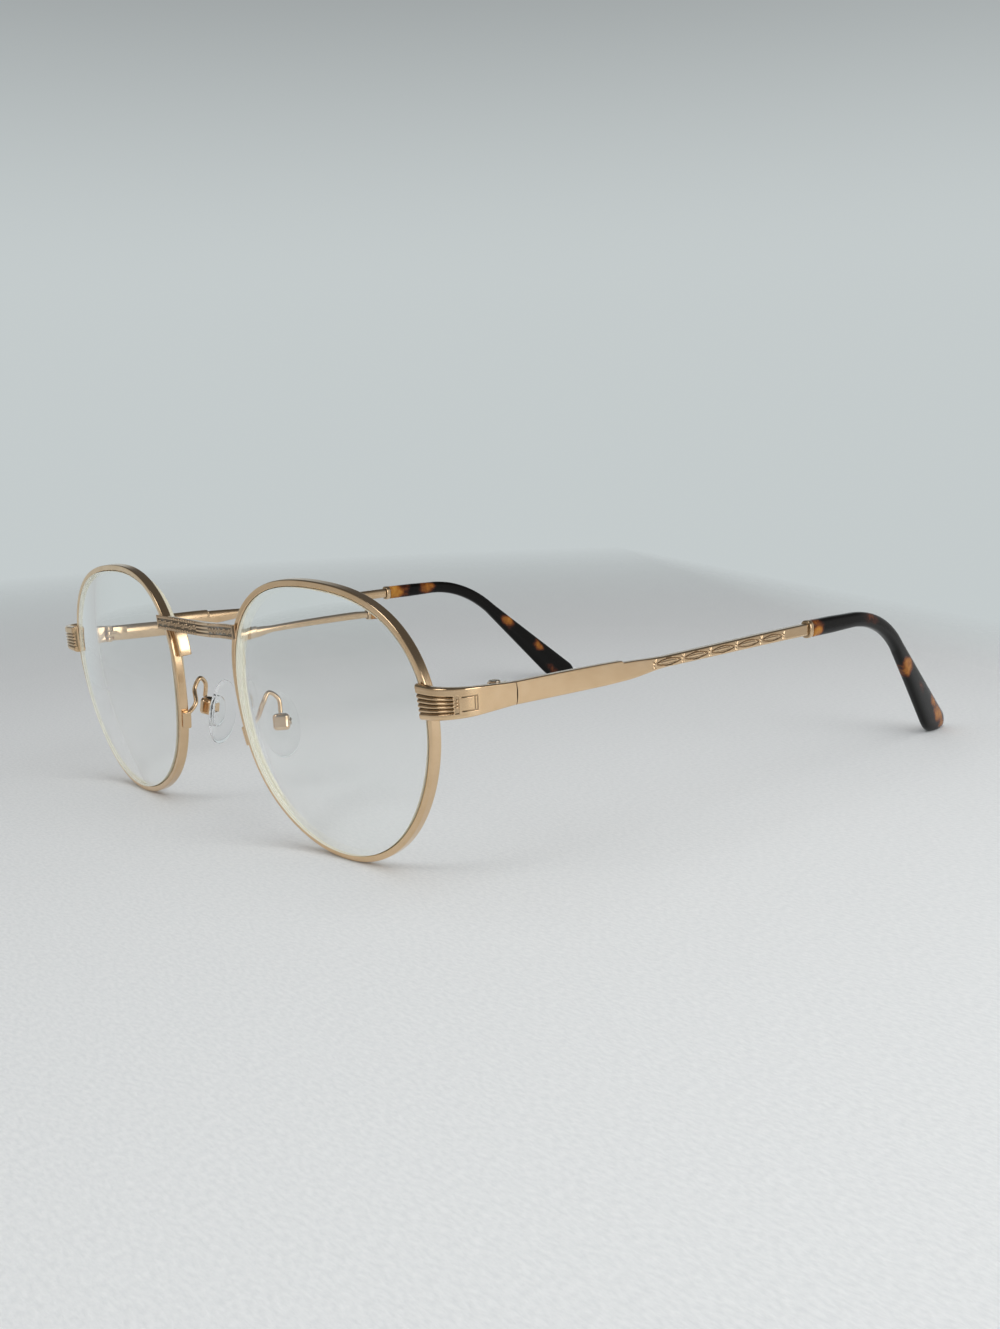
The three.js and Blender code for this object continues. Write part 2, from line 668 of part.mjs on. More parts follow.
// Rounded section centred on the core
function ovalSection(thick, tall, sides = 12) {
  return Array.from({ length: sides }, (_, i) => {
    const angle = i / sides * 2 * Math.PI;
    const swell = (value) => Math.sign(value) * Math.abs(value) ** 0.75;
    return [
      ROD_THICK / 2 + swell(Math.cos(angle)) * thick / 2,
      swell(Math.sin(angle)) * tall / 2,
    ];
  });
}

function ferruleGeometry() {
  const shell = skin([0, 0.2, 0.8, 1].map((share) => {
    const shrink = share === 0 || share === 1 ? 0.9 : 1;
    const section = ovalSection(FERRULE_THICK * shrink, FERRULE_TALL * shrink);
    return templeRing(COLLAR_AT + FERRULE_LENGTH * share, section);
  }));
  return cut(shell, coreChannel(COLLAR_AT - 1));
}

function tipGeometry() {
  const start = COLLAR_AT + FERRULE_LENGTH + SOLDER_GAP;
  const bendEnd = bendStart + bendLong;
  const rings = [
    templeRing(start, ovalSection(TIP_THICK, TIP_TALL)),
    templeRing(lerp(start, bendStart, 0.5), ovalSection(TIP_THICK, TIP_TALL)),
  ];
  for (let i = 0; i <= 4; i += 1) {
    rings.push(templeRing(bendStart + bendLong * i / 4, ovalSection(TIP_THICK, TIP_BEND_TALL)));
  }
  for (const share of [0.33, 0.67, 1]) {
    const tall = lerp(TIP_BEND_TALL, TIP_END_TALL, share);
    const thick = lerp(TIP_THICK, TIP_END_THICK, share);
    rings.push(templeRing(lerp(bendEnd, pathLong, share), ovalSection(thick, tall)));
  }
  for (const degrees of [20, 40, 58, 73, 84]) {
    const angle = radians(degrees);
    const shrink = Math.cos(angle);
    const section = ovalSection(TIP_END_THICK * Math.sqrt(shrink), TIP_END_TALL * shrink);
    rings.push(templeRing(pathLong + tipRound * Math.sin(angle), section));
  }
  // The end stands on the ground with a flat foot
  const below = block(
    0, halfWidth + TIP_THICK, jointY, jointY + pathLong + TIP_END_TALL,
    groundZ - TIP_END_TALL, groundZ,
  );
  return cut(skin(rings), coreChannel(start - 1), below);
}

// Nose pad group: X points away from the nose, Y back along the screw, Z up the pad

function padCoreGeometry() {
  const plate = new THREE.CylinderGeometry(0.5, 0.5, CORE_PLATE_THICK, 20)
    .rotateZ(Math.PI / 2)
    .scale(1, CORE_PLATE_LONG, CORE_PLATE_WIDE)
    .rotateX(Math.PI / 2)
    .translate(-PAD_STANDOFF - CORE_PLATE_THICK / 2, 0, -PAD_SINK);
  const round = new THREE.CylinderGeometry(LUG_RADIUS, LUG_RADIUS, LUG_THICK, 16);
  const stem = block(
    -PAD_STANDOFF - CORE_PLATE_THICK / 2, 0, -LUG_THICK / 2, LUG_THICK / 2, -LUG_RADIUS, LUG_RADIUS,
  );
  return cut(join(plate, round, stem), padBore());
}

function padBore() {
  const radius = PAD_SCREW_RADIUS + PIN_FIT;
  return new THREE.CylinderGeometry(radius, radius, boxWide * 2, 16);
}

function nosePadGeometry() {
  const half = PAD_THICK / 2;
  const profile = [
    [0, -half], [0.68, -half], [0.9, -half * 0.75], [1, -half * 0.15],
    [0.95, half * 0.4], [0.75, half * 0.8], [0.4, half * 0.97], [0, half],
  ].map(([share, level]) => new THREE.Vector2(share, level));
  const body = new THREE.LatheGeometry(profile, 24)
    .rotateZ(Math.PI / 2)
    .scale(1, PAD_WIDE / 2, PAD_LONG / 2)
    .translate(-PAD_STANDOFF - half, 0, -PAD_SINK);
  const pocket = new THREE.CylinderGeometry(0.5, 0.5, CORE_PLATE_THICK + LUG_FIT + 1, 20)
    .rotateZ(Math.PI / 2)
    .scale(1, CORE_PLATE_LONG + LUG_FIT * 2, CORE_PLATE_WIDE + LUG_FIT * 2)
    .rotateX(Math.PI / 2)
    .translate(-PAD_STANDOFF - (CORE_PLATE_THICK + LUG_FIT - 1) / 2, 0, -PAD_SINK);
  return cut(body, pocket);
}

const boxWide = LUG_THICK + LUG_FIT * 2 + BOX_WALL * 2;
const boxOuter = LUG_RADIUS + LUG_FIT + BOX_FLOOR;

function padBoxGeometry() {
  const inner = -LUG_RADIUS;
  const half = LUG_THICK / 2 + LUG_FIT;
  const shape = new THREE.Shape();
  const round = 0.4;
  shape.moveTo(inner, -BOX_LONG / 2);
  shape.lineTo(boxOuter - round, -BOX_LONG / 2);
  shape.quadraticCurveTo(boxOuter, -BOX_LONG / 2, boxOuter, -BOX_LONG / 2 + round);
  shape.lineTo(boxOuter, BOX_LONG / 2 - round);
  shape.quadraticCurveTo(boxOuter, BOX_LONG / 2, boxOuter - round, BOX_LONG / 2);
  shape.lineTo(inner, BOX_LONG / 2);
  const body = new THREE.ExtrudeGeometry(shape, { depth: boxWide, bevelEnabled: false, curveSegments: 3 })
    .translate(0, 0, -boxWide / 2)
    .rotateX(Math.PI / 2);
  const slot = block(inner - 1, LUG_RADIUS + LUG_FIT, -half, half, -BOX_LONG, BOX_LONG);
  return cut(body, slot, padBore());
}

function padScrewGeometry() {
  return screw(PAD_SCREW_HEAD_RADIUS, PAD_SCREW_HEAD, PAD_SCREW_RADIUS, boxWide)
    .rotateX(-Math.PI / 2)
    .translate(0, boxWide / 2 + PIN_FIT, 0);
}

const padGroupPlace = new THREE.Group();
padGroupPlace.rotation.set(0, -radians(PAD_FRONTAL), -radians(PAD_SPLAY), 'ZYX');
const padFrontY = -PAD_Z * Math.sin(radians(FRONT_TILT));
const padAxis = new THREE.Vector3(PAD_STANDOFF + PAD_THICK / 2, 0, 0)
  .applyEuler(padGroupPlace.rotation)
  .add(new THREE.Vector3(PAD_X, padFrontY + PAD_Y, PAD_Z));

// Arm: from its solder foot on the rim up over a hook and down to the box
function padArmGeometry() {
  const footAngle = rimAngle(FOOT_Z + FOOT_TALL * 0.3, false);
  const foot = flankPlate(
    FOOT_Z - FOOT_TALL / 2, FOOT_Z + FOOT_TALL / 2, FOOT_THICK, rimHalf - FOOT_DEPTH, rimHalf,
  ).applyMatrix4(eyeMatrix);
  const footMiddle = rimPoint(footAngle, rimOut + SOLDER_GAP + FOOT_THICK / 2);
  const start = fromEye(footMiddle, rimHalf - ARM_RADIUS * 1.3);
  const end = new THREE.Vector3(boxOuter - BOX_FLOOR / 2, 0, BOX_LONG / 2 + SOLDER_GAP)
    .applyEuler(padGroupPlace.rotation)
    .add(padAxis);
  const hookX = (start.x + end.x) / 2;
  const top = end.z + ARM_HOOK;
  const route = new THREE.CatmullRomCurve3([
    start,
    new THREE.Vector3(start.x, lerp(start.y, end.y, 0.35), lerp(start.z, top, 0.3)),
    new THREE.Vector3(hookX, lerp(start.y, end.y, 0.48), lerp(start.z, top, 0.72)),
    new THREE.Vector3(hookX, lerp(start.y, end.y, 0.72), top),
    new THREE.Vector3(lerp(hookX, end.x, 0.6), end.y, lerp(end.z, top, 0.68)),
    end,
  ]);
  const section = new THREE.Shape();
  section.absarc(0, 0, ARM_RADIUS, 0, Math.PI * 2);
  const wire = new THREE.ExtrudeGeometry(section, { steps: 24, extrudePath: route, curveSegments: 4 });
  return join(foot, wire);
}

// Assembly

function eyeGroup(side) {
  const group = new THREE.Group();
  group.position.x = NOSE_GAP / 2;
  group.rotation.z = radians(FACE_WRAP);
  group.add(
    piece(`rim_${side}`, rimGeometry(), GOLD),
    piece(`lens_${side}`, lensGeometry(), GLASS),
    piece(`bridge_leg_${side}`, legGeometry(), GOLD),
  );
  return group;
}

function padGroup(side) {
  const group = padGroupPlace.clone();
  group.position.copy(padAxis);
  group.add(
    piece(`pad_box_${side}`, padBoxGeometry(), GOLD),
    piece(`pad_screw_${side}`, padScrewGeometry(), STEEL),
    piece(`pad_core_${side}`, padCoreGeometry(), CLEAR),
    piece(`nose_pad_${side}`, nosePadGeometry(), SILICONE),
  );
  return group;
}

function sideGroup(side) {
  const group = new THREE.Group();
  group.scale.x = side === 'left' ? 1 : -1;
  const front = new THREE.Group();
  front.rotation.x = radians(FRONT_TILT);
  front.add(eyeGroup(side));
  const rimScrew = screw(
    RIM_SCREW_HEAD_RADIUS, RIM_SCREW_HEAD, RIM_SCREW_RADIUS, LOCK_TALL * 2 + RIM_SLIT - SOLDER_GAP,
  ).rotateX(Math.PI).translate(
    lockScrewX, lockScrewY, HINGE_HEIGHT - RIM_SLIT / 2 - LOCK_TALL - PIN_FIT,
  );
  group.add(
    front,
    padGroup(side),
    piece(`pad_arm_${side}`, padArmGeometry(), GOLD),
    piece(`endpiece_${side}`, endpieceGeometry(), GOLD),
    piece(`rim_lock_upper_${side}`, lockGeometry(true), GOLD),
    piece(`rim_lock_lower_${side}`, lockGeometry(false), GOLD),
    piece(`rim_screw_${side}`, rimScrew, STEEL),
    piece(`hinge_front_${side}`, hingeFrontGeometry(), GOLD),
    piece(`hinge_temple_${side}`, hingeTempleGeometry(), GOLD),
    piece(`hinge_screw_${side}`, hingeScrewGeometry(), STEEL),
    piece(`temple_${side}`, templeGeometry(), GOLD),
    piece(`ferrule_${side}`, ferruleGeometry(), GOLD),
    piece(`temple_tip_${side}`, tipGeometry(), TORTOISE),
  );
  return group;
}

const glasses = new THREE.Group();
const frontMiddle = new THREE.Group();
frontMiddle.rotation.x = radians(FRONT_TILT);
frontMiddle.add(piece('bridge', bridgeGeometry(), GOLD));
glasses.add(sideGroup('left'), sideGroup('right'), frontMiddle);

// Origin under the middle of the whole, on the ground
glasses.updateMatrixWorld(true);
const box = new THREE.Box3().setFromObject(glasses, true);
glasses.position.set(0, -(box.min.y + box.max.y) / 2, -box.min.z);
glasses.updateMatrixWorld(true);

export default glasses;
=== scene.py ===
"""Round gold metal eyeglasses with ornamented bridge, endpieces and arms, on a pale floor."""
import math

import bmesh
import bpy
import numpy as np
from mathutils import Matrix, Vector


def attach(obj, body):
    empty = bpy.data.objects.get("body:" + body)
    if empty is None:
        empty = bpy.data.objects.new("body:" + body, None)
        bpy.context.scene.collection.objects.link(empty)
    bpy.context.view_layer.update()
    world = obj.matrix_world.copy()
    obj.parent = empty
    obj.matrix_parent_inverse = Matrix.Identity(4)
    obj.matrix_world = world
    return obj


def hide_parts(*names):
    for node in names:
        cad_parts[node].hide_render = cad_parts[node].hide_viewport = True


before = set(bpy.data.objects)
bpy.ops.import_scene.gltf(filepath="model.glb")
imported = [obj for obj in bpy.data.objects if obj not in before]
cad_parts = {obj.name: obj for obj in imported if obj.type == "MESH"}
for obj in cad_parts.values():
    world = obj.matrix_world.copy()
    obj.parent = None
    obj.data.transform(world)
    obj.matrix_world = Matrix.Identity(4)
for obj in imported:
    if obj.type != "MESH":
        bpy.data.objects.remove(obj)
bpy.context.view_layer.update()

MM = 0.001
# Shapes are worked out in millimetres with the rims' lowest edge near height 0, then moved
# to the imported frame
SHIFT = np.array([0.0, -74.286915, -0.113926])

# Front
NOSE_GAP = 20.5
TILT = math.radians(4.7)
WRAP = math.radians(4.4)
HINGE_Z = 30.3
SEAT = 0.1
HALF_WIDTH = 67.0

# Rim and lens
RIM_WIDTH, RIM_HEIGHT = 50.0, 47.4
RIM_THICK, RIM_DEPTH = 1.1, 1.8
RIM_OUT, RIM_HALF = RIM_THICK / 2, RIM_DEPTH / 2
RIM_WAVES = ((2, -0.019, -0.017), (3, 0.009, 0.034), (4, -0.017, 0.006), (5, 0.004, -0.004))
GROOVE_DEPTH, GROOVE_WIDTH = 0.4, 0.9
RIM_SLIT = 0.4
LENS_FRONT_RADIUS, LENS_BACK_RADIUS = 125.0, 86.0
LENS_CENTRE, LENS_FRONT_EDGE, LENS_FIT = 1.3, 0.6, 0.1
LENS_INDEX = 1.5

# Bridge
BRIDGE_Z, BRIDGE_TALL = 37.7, 2.65
BRIDGE_END_THICK, BRIDGE_MID_THICK = 0.65, 1.1
BRIDGE_LAP, BRIDGE_SETBACK, BRIDGE_SAG = 1.3, 2.3, 0.85

# Endpiece
END_REACH, END_TALL, END_DROP, END_WALL = 1.1, 5.55, 0.33, 1.3
END_RADIUS = 5.9
END_LENGTH, JOINT_TALL = 12.8, 3.6

# Arm and tip
ARM_THICK, BROAD_TALL, BROAD, TAPER = 1.3, 3.7, 24.0, 12.0
SHOULDER, ROD_TALL, ROD_END_TALL, ROD_THICK = 0.35, 1.95, 2.3, 1.5
RISE, COLLAR_AT, JOINT_GAP = 0.5, 77.4, 0.15
FERRULE_LONG, FERRULE_TALL, FERRULE_THICK = 1.2, 3.45, 2.4
BEND_AT, BEND_RADIUS, BEND_TURN = 104.6, 30.0, math.radians(42)
TIP_TALL, TIP_BEND_TALL, TIP_END_TALL, TIP_FOOT = 3.3, 3.0, 7.9, 3.0
TIP_THICK, TIP_END_THICK, BOW = 2.5, 2.4, 1.5
TIP_LEAN = math.tan(math.radians(6.3))
CORE_HALF, CORE_HALF_TALL = 0.5, 0.8

# Nose pads
PAD_X, PAD_Y, PAD_Z, PAD_SINK = 9.6, 7.5, 19.6, 0.6
PAD_SPLAY, PAD_FRONTAL = math.radians(28), math.radians(10)
PAD_LONG, PAD_WIDE, PAD_THICK, PAD_STANDOFF = 12.7, 7.4, 3.0, 1.4
LUG_RADIUS, LUG_THICK, LUG_FIT = 0.85, 1.1, 0.12
BOX_WALL, BOX_FLOOR, BOX_LONG = 0.95, 0.75, 3.1
BOX_OUTER = LUG_RADIUS + LUG_FIT + BOX_FLOOR
WIRE_RADIUS, WIRE_HOOK = 0.42, 3.9
FOOT_TALL, FOOT_THICK, FOOT_Z, FOOT_DEPTH = 3.2, 0.9, 18.8, 1.5
# Less than that of silicone, so that the pads look as faint as in the photo
PAD_INDEX = 1.1

SIDES = (("left", False), ("right", True))


def lerp(a, b, t):
    return a + (b - a) * t


def smooth(value, low, high):
    t = np.clip((np.asarray(value, float) - low) / (high - low), 0, 1)
    return t * t * (3 - 2 * t)


def line_share(distance, half):
    """How much each place lies on a line, from 1 in its middle to 0 at its half width."""
    return np.clip(1 - np.abs(distance) / half, 0, 1)


def bead_share(distance):
    """Height of a round bead, from 1 in its middle to 0 at distance 1."""
    return np.sqrt(np.clip(1 - distance ** 2, 0, 1))


def turns(count):
    return np.arange(count) / count * 2 * math.pi


# Meshes

def add_object(name, data):
    obj = bpy.data.objects.new(name, data)
    bpy.context.scene.collection.objects.link(obj)
    return obj


def add_piece(name, points, faces, material, body, slot, nodes=(), mirror=False, crease=35,
              worn=None, zones=None, amber=None):
    """A closed mesh from points in millimetres, mirrored for the right side where asked."""
    points = np.array(points, float)
    if mirror:
        points[:, 0] *= -1
    mesh = bpy.data.meshes.new(name)
    mesh.from_pydata(((points + SHIFT) * MM).tolist(), [], [list(map(int, f)) for f in faces])
    work = bmesh.new()
    work.from_mesh(mesh)
    bmesh.ops.recalc_face_normals(work, faces=work.faces)
    work.to_mesh(mesh)
    work.free()
    mesh.shade_smooth()
    mesh.set_sharp_from_angle(angle=math.radians(crease))
    # Per-point shares of patina with painted shade, and of amber cloud
    for label, values in (("worn", worn), ("amber", amber)):
        if values is not None:
            layer = mesh.attributes.new(label, "FLOAT", "POINT")
            layer.data.foreach_set("value", np.clip(values, 0, 1).astype(np.float32))
    for each in material if isinstance(material, list) else [material]:
        mesh.materials.append(each)
    if zones is not None:
        mesh.polygons.foreach_set("material_index", np.asarray(zones, np.int32))
    mesh.update()
    obj = add_object(name, mesh)
    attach(obj, body)
    if nodes:
        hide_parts(*nodes)
    return obj


def add_pair(node, points, faces, material, body, slot, **look):
    """The same piece on both sides; {} in the body's name stands for the side."""
    for side, mirror in SIDES:
        add_piece(f"{node}_{side}_fine", points, faces, material, body.format(side), slot,
                  [f"{node}_{side}"], mirror, **look)


def loft_faces(stations, around, closed=False):
    """Quads of a tube of rings, with flat caps unless it closes on itself."""
    faces = []
    for i in range(stations if closed else stations - 1):
        a, b = i * around, (i + 1) % stations * around
        for j in range(around):
            k = (j + 1) % around
            faces.append((a + j, a + k, b + k, b + j))
    if not closed:
        faces.append(tuple(range(around))[::-1])
        faces.append(tuple((stations - 1) * around + j for j in range(around)))
    return faces


def loft(rings):
    rings = np.asarray(rings, float)
    return rings.reshape(-1, 3), loft_faces(rings.shape[0], rings.shape[1])


def merge(*solids):
    """Several sets of points and faces as one set."""
    points, faces, start = [], [], 0
    for p, f in solids:
        points.append(p)
        faces += [tuple(i + start for i in face) for face in f]
        start += len(p)
    return np.concatenate(points), faces


# Nearer points are one, faces that turn less are one, and edges that turn more are rounded
SAME_POINT, SAME_FACE, SHARP_EDGE = 2e-6, math.radians(1.5), math.radians(28)
CREASE = math.radians(40)


def refined(node, material, body, width, segments):
    """The CAD node again with its flat faces joined up and its edges rounded."""
    work = bmesh.new()
    work.from_mesh(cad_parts[node].data)
    bmesh.ops.remove_doubles(work, verts=work.verts, dist=SAME_POINT)
    bmesh.ops.dissolve_limit(work, angle_limit=SAME_FACE, verts=work.verts, edges=work.edges)
    sharp = [e for e in work.edges
             if len(e.link_faces) == 2 and e.calc_face_angle(0) > SHARP_EDGE]
    bmesh.ops.bevel(
        work, geom=sharp, offset=width * MM, offset_type="OFFSET", segments=segments,
        profile=0.5, affect="EDGES", clamp_overlap=True)
    bmesh.ops.recalc_face_normals(work, faces=work.faces)
    mesh = bpy.data.meshes.new(node + "_fine")
    work.to_mesh(mesh)
    work.free()
    mesh.shade_smooth()
    mesh.set_sharp_from_angle(angle=CREASE)
    mesh.materials.append(material)
    obj = add_object(node + "_fine", mesh)
    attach(obj, body)
    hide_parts(node)


# Materials

class Nodes:
    """Short way to add and join the shader nodes of a material or a world."""

    def __init__(self, name, kind="materials", shader="Principled BSDF", place="Object"):
        self.owner = getattr(bpy.data, kind).new(name)
        self.owner.use_nodes = True
        self.tree = self.owner.node_tree
        self.shader = self.tree.nodes[shader]
        self.place = self.add("ShaderNodeTexCoord").outputs[place]

    def add(self, kind, **settings):
        node = self.tree.nodes.new(kind)
        for key, value in settings.items():
            setattr(node, key, value)
        return node

    def link(self, start, end):
        self.tree.links.new(start, end)

    def put(self, node, values):
        for key, value in values.items():
            socket = node.inputs[key]
            if isinstance(value, bpy.types.NodeSocket):
                self.link(value, socket)
            else:
                socket.default_value = value

    def noise(self, scale, detail=3.0, rough=0.5, stretch=None, distortion=0.0):
        place = self.place
        if stretch:
            mapping = self.add("ShaderNodeMapping")
            self.put(mapping, {"Vector": place, "Scale": stretch})
            place = mapping.outputs["Vector"]
        node = self.add("ShaderNodeTexNoise")
        self.put(node, {"Vector": place, "Scale": scale, "Detail": detail, "Roughness": rough,
                        "Distortion": distortion})
        return node.outputs["Fac"]

    def ramp(self, factor, stops):
        node = self.add("ShaderNodeValToRGB")
        self.link(factor, node.inputs["Fac"])
        elements = node.color_ramp.elements
        while len(elements) < len(stops):
            elements.new(0.5)
        for element, (position, colour) in zip(elements, stops):
            element.position = position
            element.color = (*colour, 1)
        return node.outputs["Color"]

    def span(self, factor, low, high, start=0.0, end=1.0, shape="LINEAR"):
        node = self.add("ShaderNodeMapRange", interpolation_type=shape)
        self.put(node, {"Value": factor, "From Min": start, "From Max": end,
                        "To Min": low, "To Max": high})
        return node.outputs["Result"]

    def towards(self, direction, start, end, shape="LINEAR"):
        """From 0 to 1 between two distances of the place in a direction."""
        node = self.add("ShaderNodeVectorMath", operation="DOT_PRODUCT")
        self.put(node, {0: self.place, 1: direction})
        return self.span(node.outputs["Value"], 0.0, 1.0, start, end, shape)

    def mix(self, factor, a, b):
        node = self.add("ShaderNodeMix", data_type="RGBA")
        a, b = ((*c, 1) if isinstance(c, tuple) else c for c in (a, b))
        self.put(node, {0: factor, 6: a, 7: b})
        return node.outputs[2]

    def math(self, operation, a, b):
        node = self.add("ShaderNodeMath", operation=operation)
        self.put(node, {0: a, 1: b})
        return node.outputs[0]

    def attribute(self, name):
        return self.add("ShaderNodeAttribute", attribute_name=name).outputs["Fac"]

    def bump(self, height, strength, distance):
        node = self.add("ShaderNodeBump")
        self.put(node, {"Height": height, "Strength": strength, "Distance": distance})
        return node.outputs["Normal"]


def metal(name, light, deep, patina_shade_colour, rough, grain):
    """Satin metal: slow colour drift, fine blasted grain, and patina with painted shade in what is
    engraved or sunk.
    """
    n = Nodes(name)
    drift = n.noise(260, 3)
    speck = n.noise(5200, 2, 0.6)
    colour = n.mix(n.span(drift, 0.0, 1.0, 0.3, 0.7), light, deep)
    # Patina and painted shade: darker by the attribute, which marks grooves, engraving, sunk fields
    # and part ends
    colour = n.mix(n.span(n.attribute("worn"), 0.0, 0.85), colour, patina_shade_colour)
    streak = n.math("ADD", n.math("MULTIPLY", drift, 0.5), n.math("MULTIPLY", speck, 0.5))
    n.put(n.shader, {
        "Base Color": colour, "Metallic": 1.0,
        "Roughness": n.span(streak, rough[0], rough[1], 0.3, 0.7),
        "Coat Weight": 0.45, "Coat Roughness": 0.14,
        "Normal": n.bump(n.noise(grain, 2, 0.7), 0.06, 0.00002),
    })
    return n.owner


def lens_glass():
    """Clear lens with the least trace of smear on its polish."""
    n = Nodes("lens_clear")
    smear = n.noise(90, 4, 0.55, (1, 1, 2.2))
    n.put(n.shader, {
        "Base Color": n.ramp(smear, ((0.35, (0.985, 0.995, 0.988)), (0.7, (0.965, 0.985, 0.975)))),
        "Roughness": n.span(smear, 0.0, 0.02, 0.5, 0.8),
        "Transmission Weight": 1.0, "IOR": LENS_INDEX, "Specular IOR Level": 0.35,
    })
    return n.owner


def lens_edge(name, see_through):
    """Ground, frosted edge of a lens, pale cream with fine grinding lines."""
    n = Nodes(name)
    lines = n.noise(2600, 3, 0.6)
    n.put(n.shader, {
        "Base Color": n.ramp(lines, ((0.3, (0.76, 0.74, 0.60)), (0.7, (0.84, 0.82, 0.70)))),
        "Roughness": n.span(lines, 0.6, 0.75),
        "Transmission Weight": see_through, "IOR": LENS_INDEX, "Specular IOR Level": 0.2,
        "Normal": n.bump(lines, 0.2, 0.00003),
    })
    return n.owner


def clear(name, tint, cloudy, rough, grain):
    """Clear plastic or rubber with a trace of cloudiness."""
    n = Nodes(name)
    cloud = n.noise(420, 3)
    n.put(n.shader, {
        "Base Color": n.ramp(cloud, ((0.3, tint), (0.75, cloudy))),
        "Roughness": n.span(cloud, rough[0], rough[1], 0.3, 0.7),
        "Transmission Weight": 1.0, "IOR": PAD_INDEX,
        "Normal": n.bump(n.noise(grain, 2), 0.05, 0.00003),
    })
    return n.owner


def tortoise():
    """Near-black acetate with red-brown and amber clouds where the attribute puts them."""
    n = Nodes("tortoise_acetate")
    swirl = n.noise(300, 3, 0.5, (1, 0.7, 1), 0.6)
    fleck = n.noise(900, 3, 0.55, None, 0.4)
    cloud = n.math("ADD", n.attribute("amber"), n.span(swirl, -0.11, 0.11, 0.25, 0.75))
    cloud = n.math("ADD", cloud, n.span(fleck, -0.1, 0.1, 0.25, 0.75))
    colour = n.ramp(cloud, (
        (0.12, (0.0035, 0.003, 0.0025)), (0.28, (0.008, 0.005, 0.0035)),
        (0.42, (0.04, 0.011, 0.006)), (0.56, (0.13, 0.038, 0.010)),
        (0.74, (0.34, 0.125, 0.020)), (0.98, (0.52, 0.255, 0.045))))
    n.put(n.shader, {
        "Base Color": colour,
        "Roughness": n.span(fleck, 0.14, 0.24, 0.3, 0.7),
        "Specular IOR Level": 0.2, "IOR": 1.46,
        "Normal": n.bump(n.noise(1500, 2), 0.03, 0.00003),
    })
    return n.owner


GOLD = metal("gold_satin", (0.80, 0.575, 0.355), (0.72, 0.50, 0.29), (0.055, 0.045, 0.027),
             (0.14, 0.22), 26000)
BRIGHT = metal("gold_polished", (0.83, 0.61, 0.40), (0.75, 0.53, 0.33), (0.045, 0.037, 0.024),
               (0.09, 0.16), 22000)
STEEL = metal("screw_polished", (0.70, 0.62, 0.52), (0.60, 0.52, 0.42), (0.05, 0.04, 0.03),
              (0.16, 0.26), 24000)
GLASS = lens_glass()
GLASS_EDGE = lens_edge("lens_edge_in_rim", 0.0)
GLASS_EDGE_OPEN = lens_edge("lens_edge_behind_rim", 0.4)
SILICONE = clear("clear_silicone", (0.99, 0.995, 0.995), (0.97, 0.98, 0.978), (0.03, 0.1), 3800)
CLEAR_CORE = clear("clear_core", (0.99, 0.995, 0.995), (0.965, 0.975, 0.972), (0.03, 0.08), 3000)
TORTOISE = tortoise()


# Rim outline

def wave_point(angle):
    angle = np.asarray(angle, float)
    share = np.ones_like(angle)
    for waves, cosine, sine in RIM_WAVES:
        share = share + cosine * np.cos(waves * angle) + sine * np.sin(waves * angle)
    return np.stack([np.cos(angle) * share, np.sin(angle) * share], -1)


_outline = wave_point(turns(720))
WAVE_LOW, WAVE_SIZE = _outline.min(0), np.ptp(_outline, axis=0)


def rim_line(angle):
    size = np.array([RIM_WIDTH - RIM_THICK, RIM_HEIGHT - RIM_THICK])
    return RIM_OUT + (wave_point(angle) - WAVE_LOW) / WAVE_SIZE * size


def rim_point(angle, inset):
    """Points of the rim's plane, inset outward from the middle line of the wire."""
    step = 1e-3
    ahead = rim_line(np.asarray(angle) + step) - rim_line(np.asarray(angle) - step)
    ahead /= np.linalg.norm(ahead, axis=-1, keepdims=True)
    outward = np.stack([ahead[..., 1], -ahead[..., 0]], -1)
    return rim_line(angle) + outward * np.asarray(inset)[..., None]


def tilt(x, depth, height):
    """From the front's own plane to the upright frame."""
    return np.stack([x, depth * math.cos(TILT) - height * math.sin(TILT),
                     depth * math.sin(TILT) + height * math.cos(TILT)], -1)


def from_eye(point, depth):
    """From the left rim's own plane to the upright frame."""
    across = point[..., 0]
    x = NOSE_GAP / 2 + across * math.cos(WRAP) - depth * math.sin(WRAP)
    back = across * math.sin(WRAP) + depth * math.cos(WRAP)
    return tilt(x, back, point[..., 1])


def rim_angle(height, temporal):
    """Where the rim's middle line passes a height, on its temple or nose side."""
    low, high = (-math.pi / 3, math.pi / 3) if temporal else (math.pi * 4 / 3, math.pi * 2 / 3)
    for _ in range(40):
        middle = (low + high) / 2
        if rim_line(middle)[1] < height:
            low = middle
        else:
            high = middle
    return (low + high) / 2


SLIT_ANGLE = rim_angle(HINGE_Z, True)
RIM_FRONT = from_eye(np.array([RIM_WIDTH - END_REACH, HINGE_Z]), -RIM_HALF)
END_FRONT_Y = float(RIM_FRONT[1]) - SEAT - END_WALL
JOINT_Y = END_FRONT_Y + END_LENGTH
BRIDGE_FOOT = BRIDGE_Z - BRIDGE_TALL / 2


def arc(centre, radius, start, end, count):
    angles = np.radians(np.linspace(start, end, count))
    return [(centre[0] + radius * math.cos(a), centre[1] + radius * math.sin(a)) for a in angles]


def rim_section():
    """Round the wire: inset outward, then depth behind its middle plane."""
    out, half = RIM_OUT, RIM_HALF
    big, small = 0.3, 0.12
    flank = [(out, d) for d in np.linspace(-half + big, half - big, 22)[1:-1]]
    ring = arc((-out + small, -half + small), small, 180, 270, 4)
    ring += arc((out - big, -half + big), big, 270, 360, 7)
    ring += flank
    ring += arc((out - big, half - big), big, 0, 90, 7)
    ring += arc((-out + small, half - small), small, 90, 180, 4)
    groove = GROOVE_WIDTH / 2
    ring += [(-out, groove), (-out + GROOVE_DEPTH, 0.0), (-out, -groove)]
    return np.array(ring)
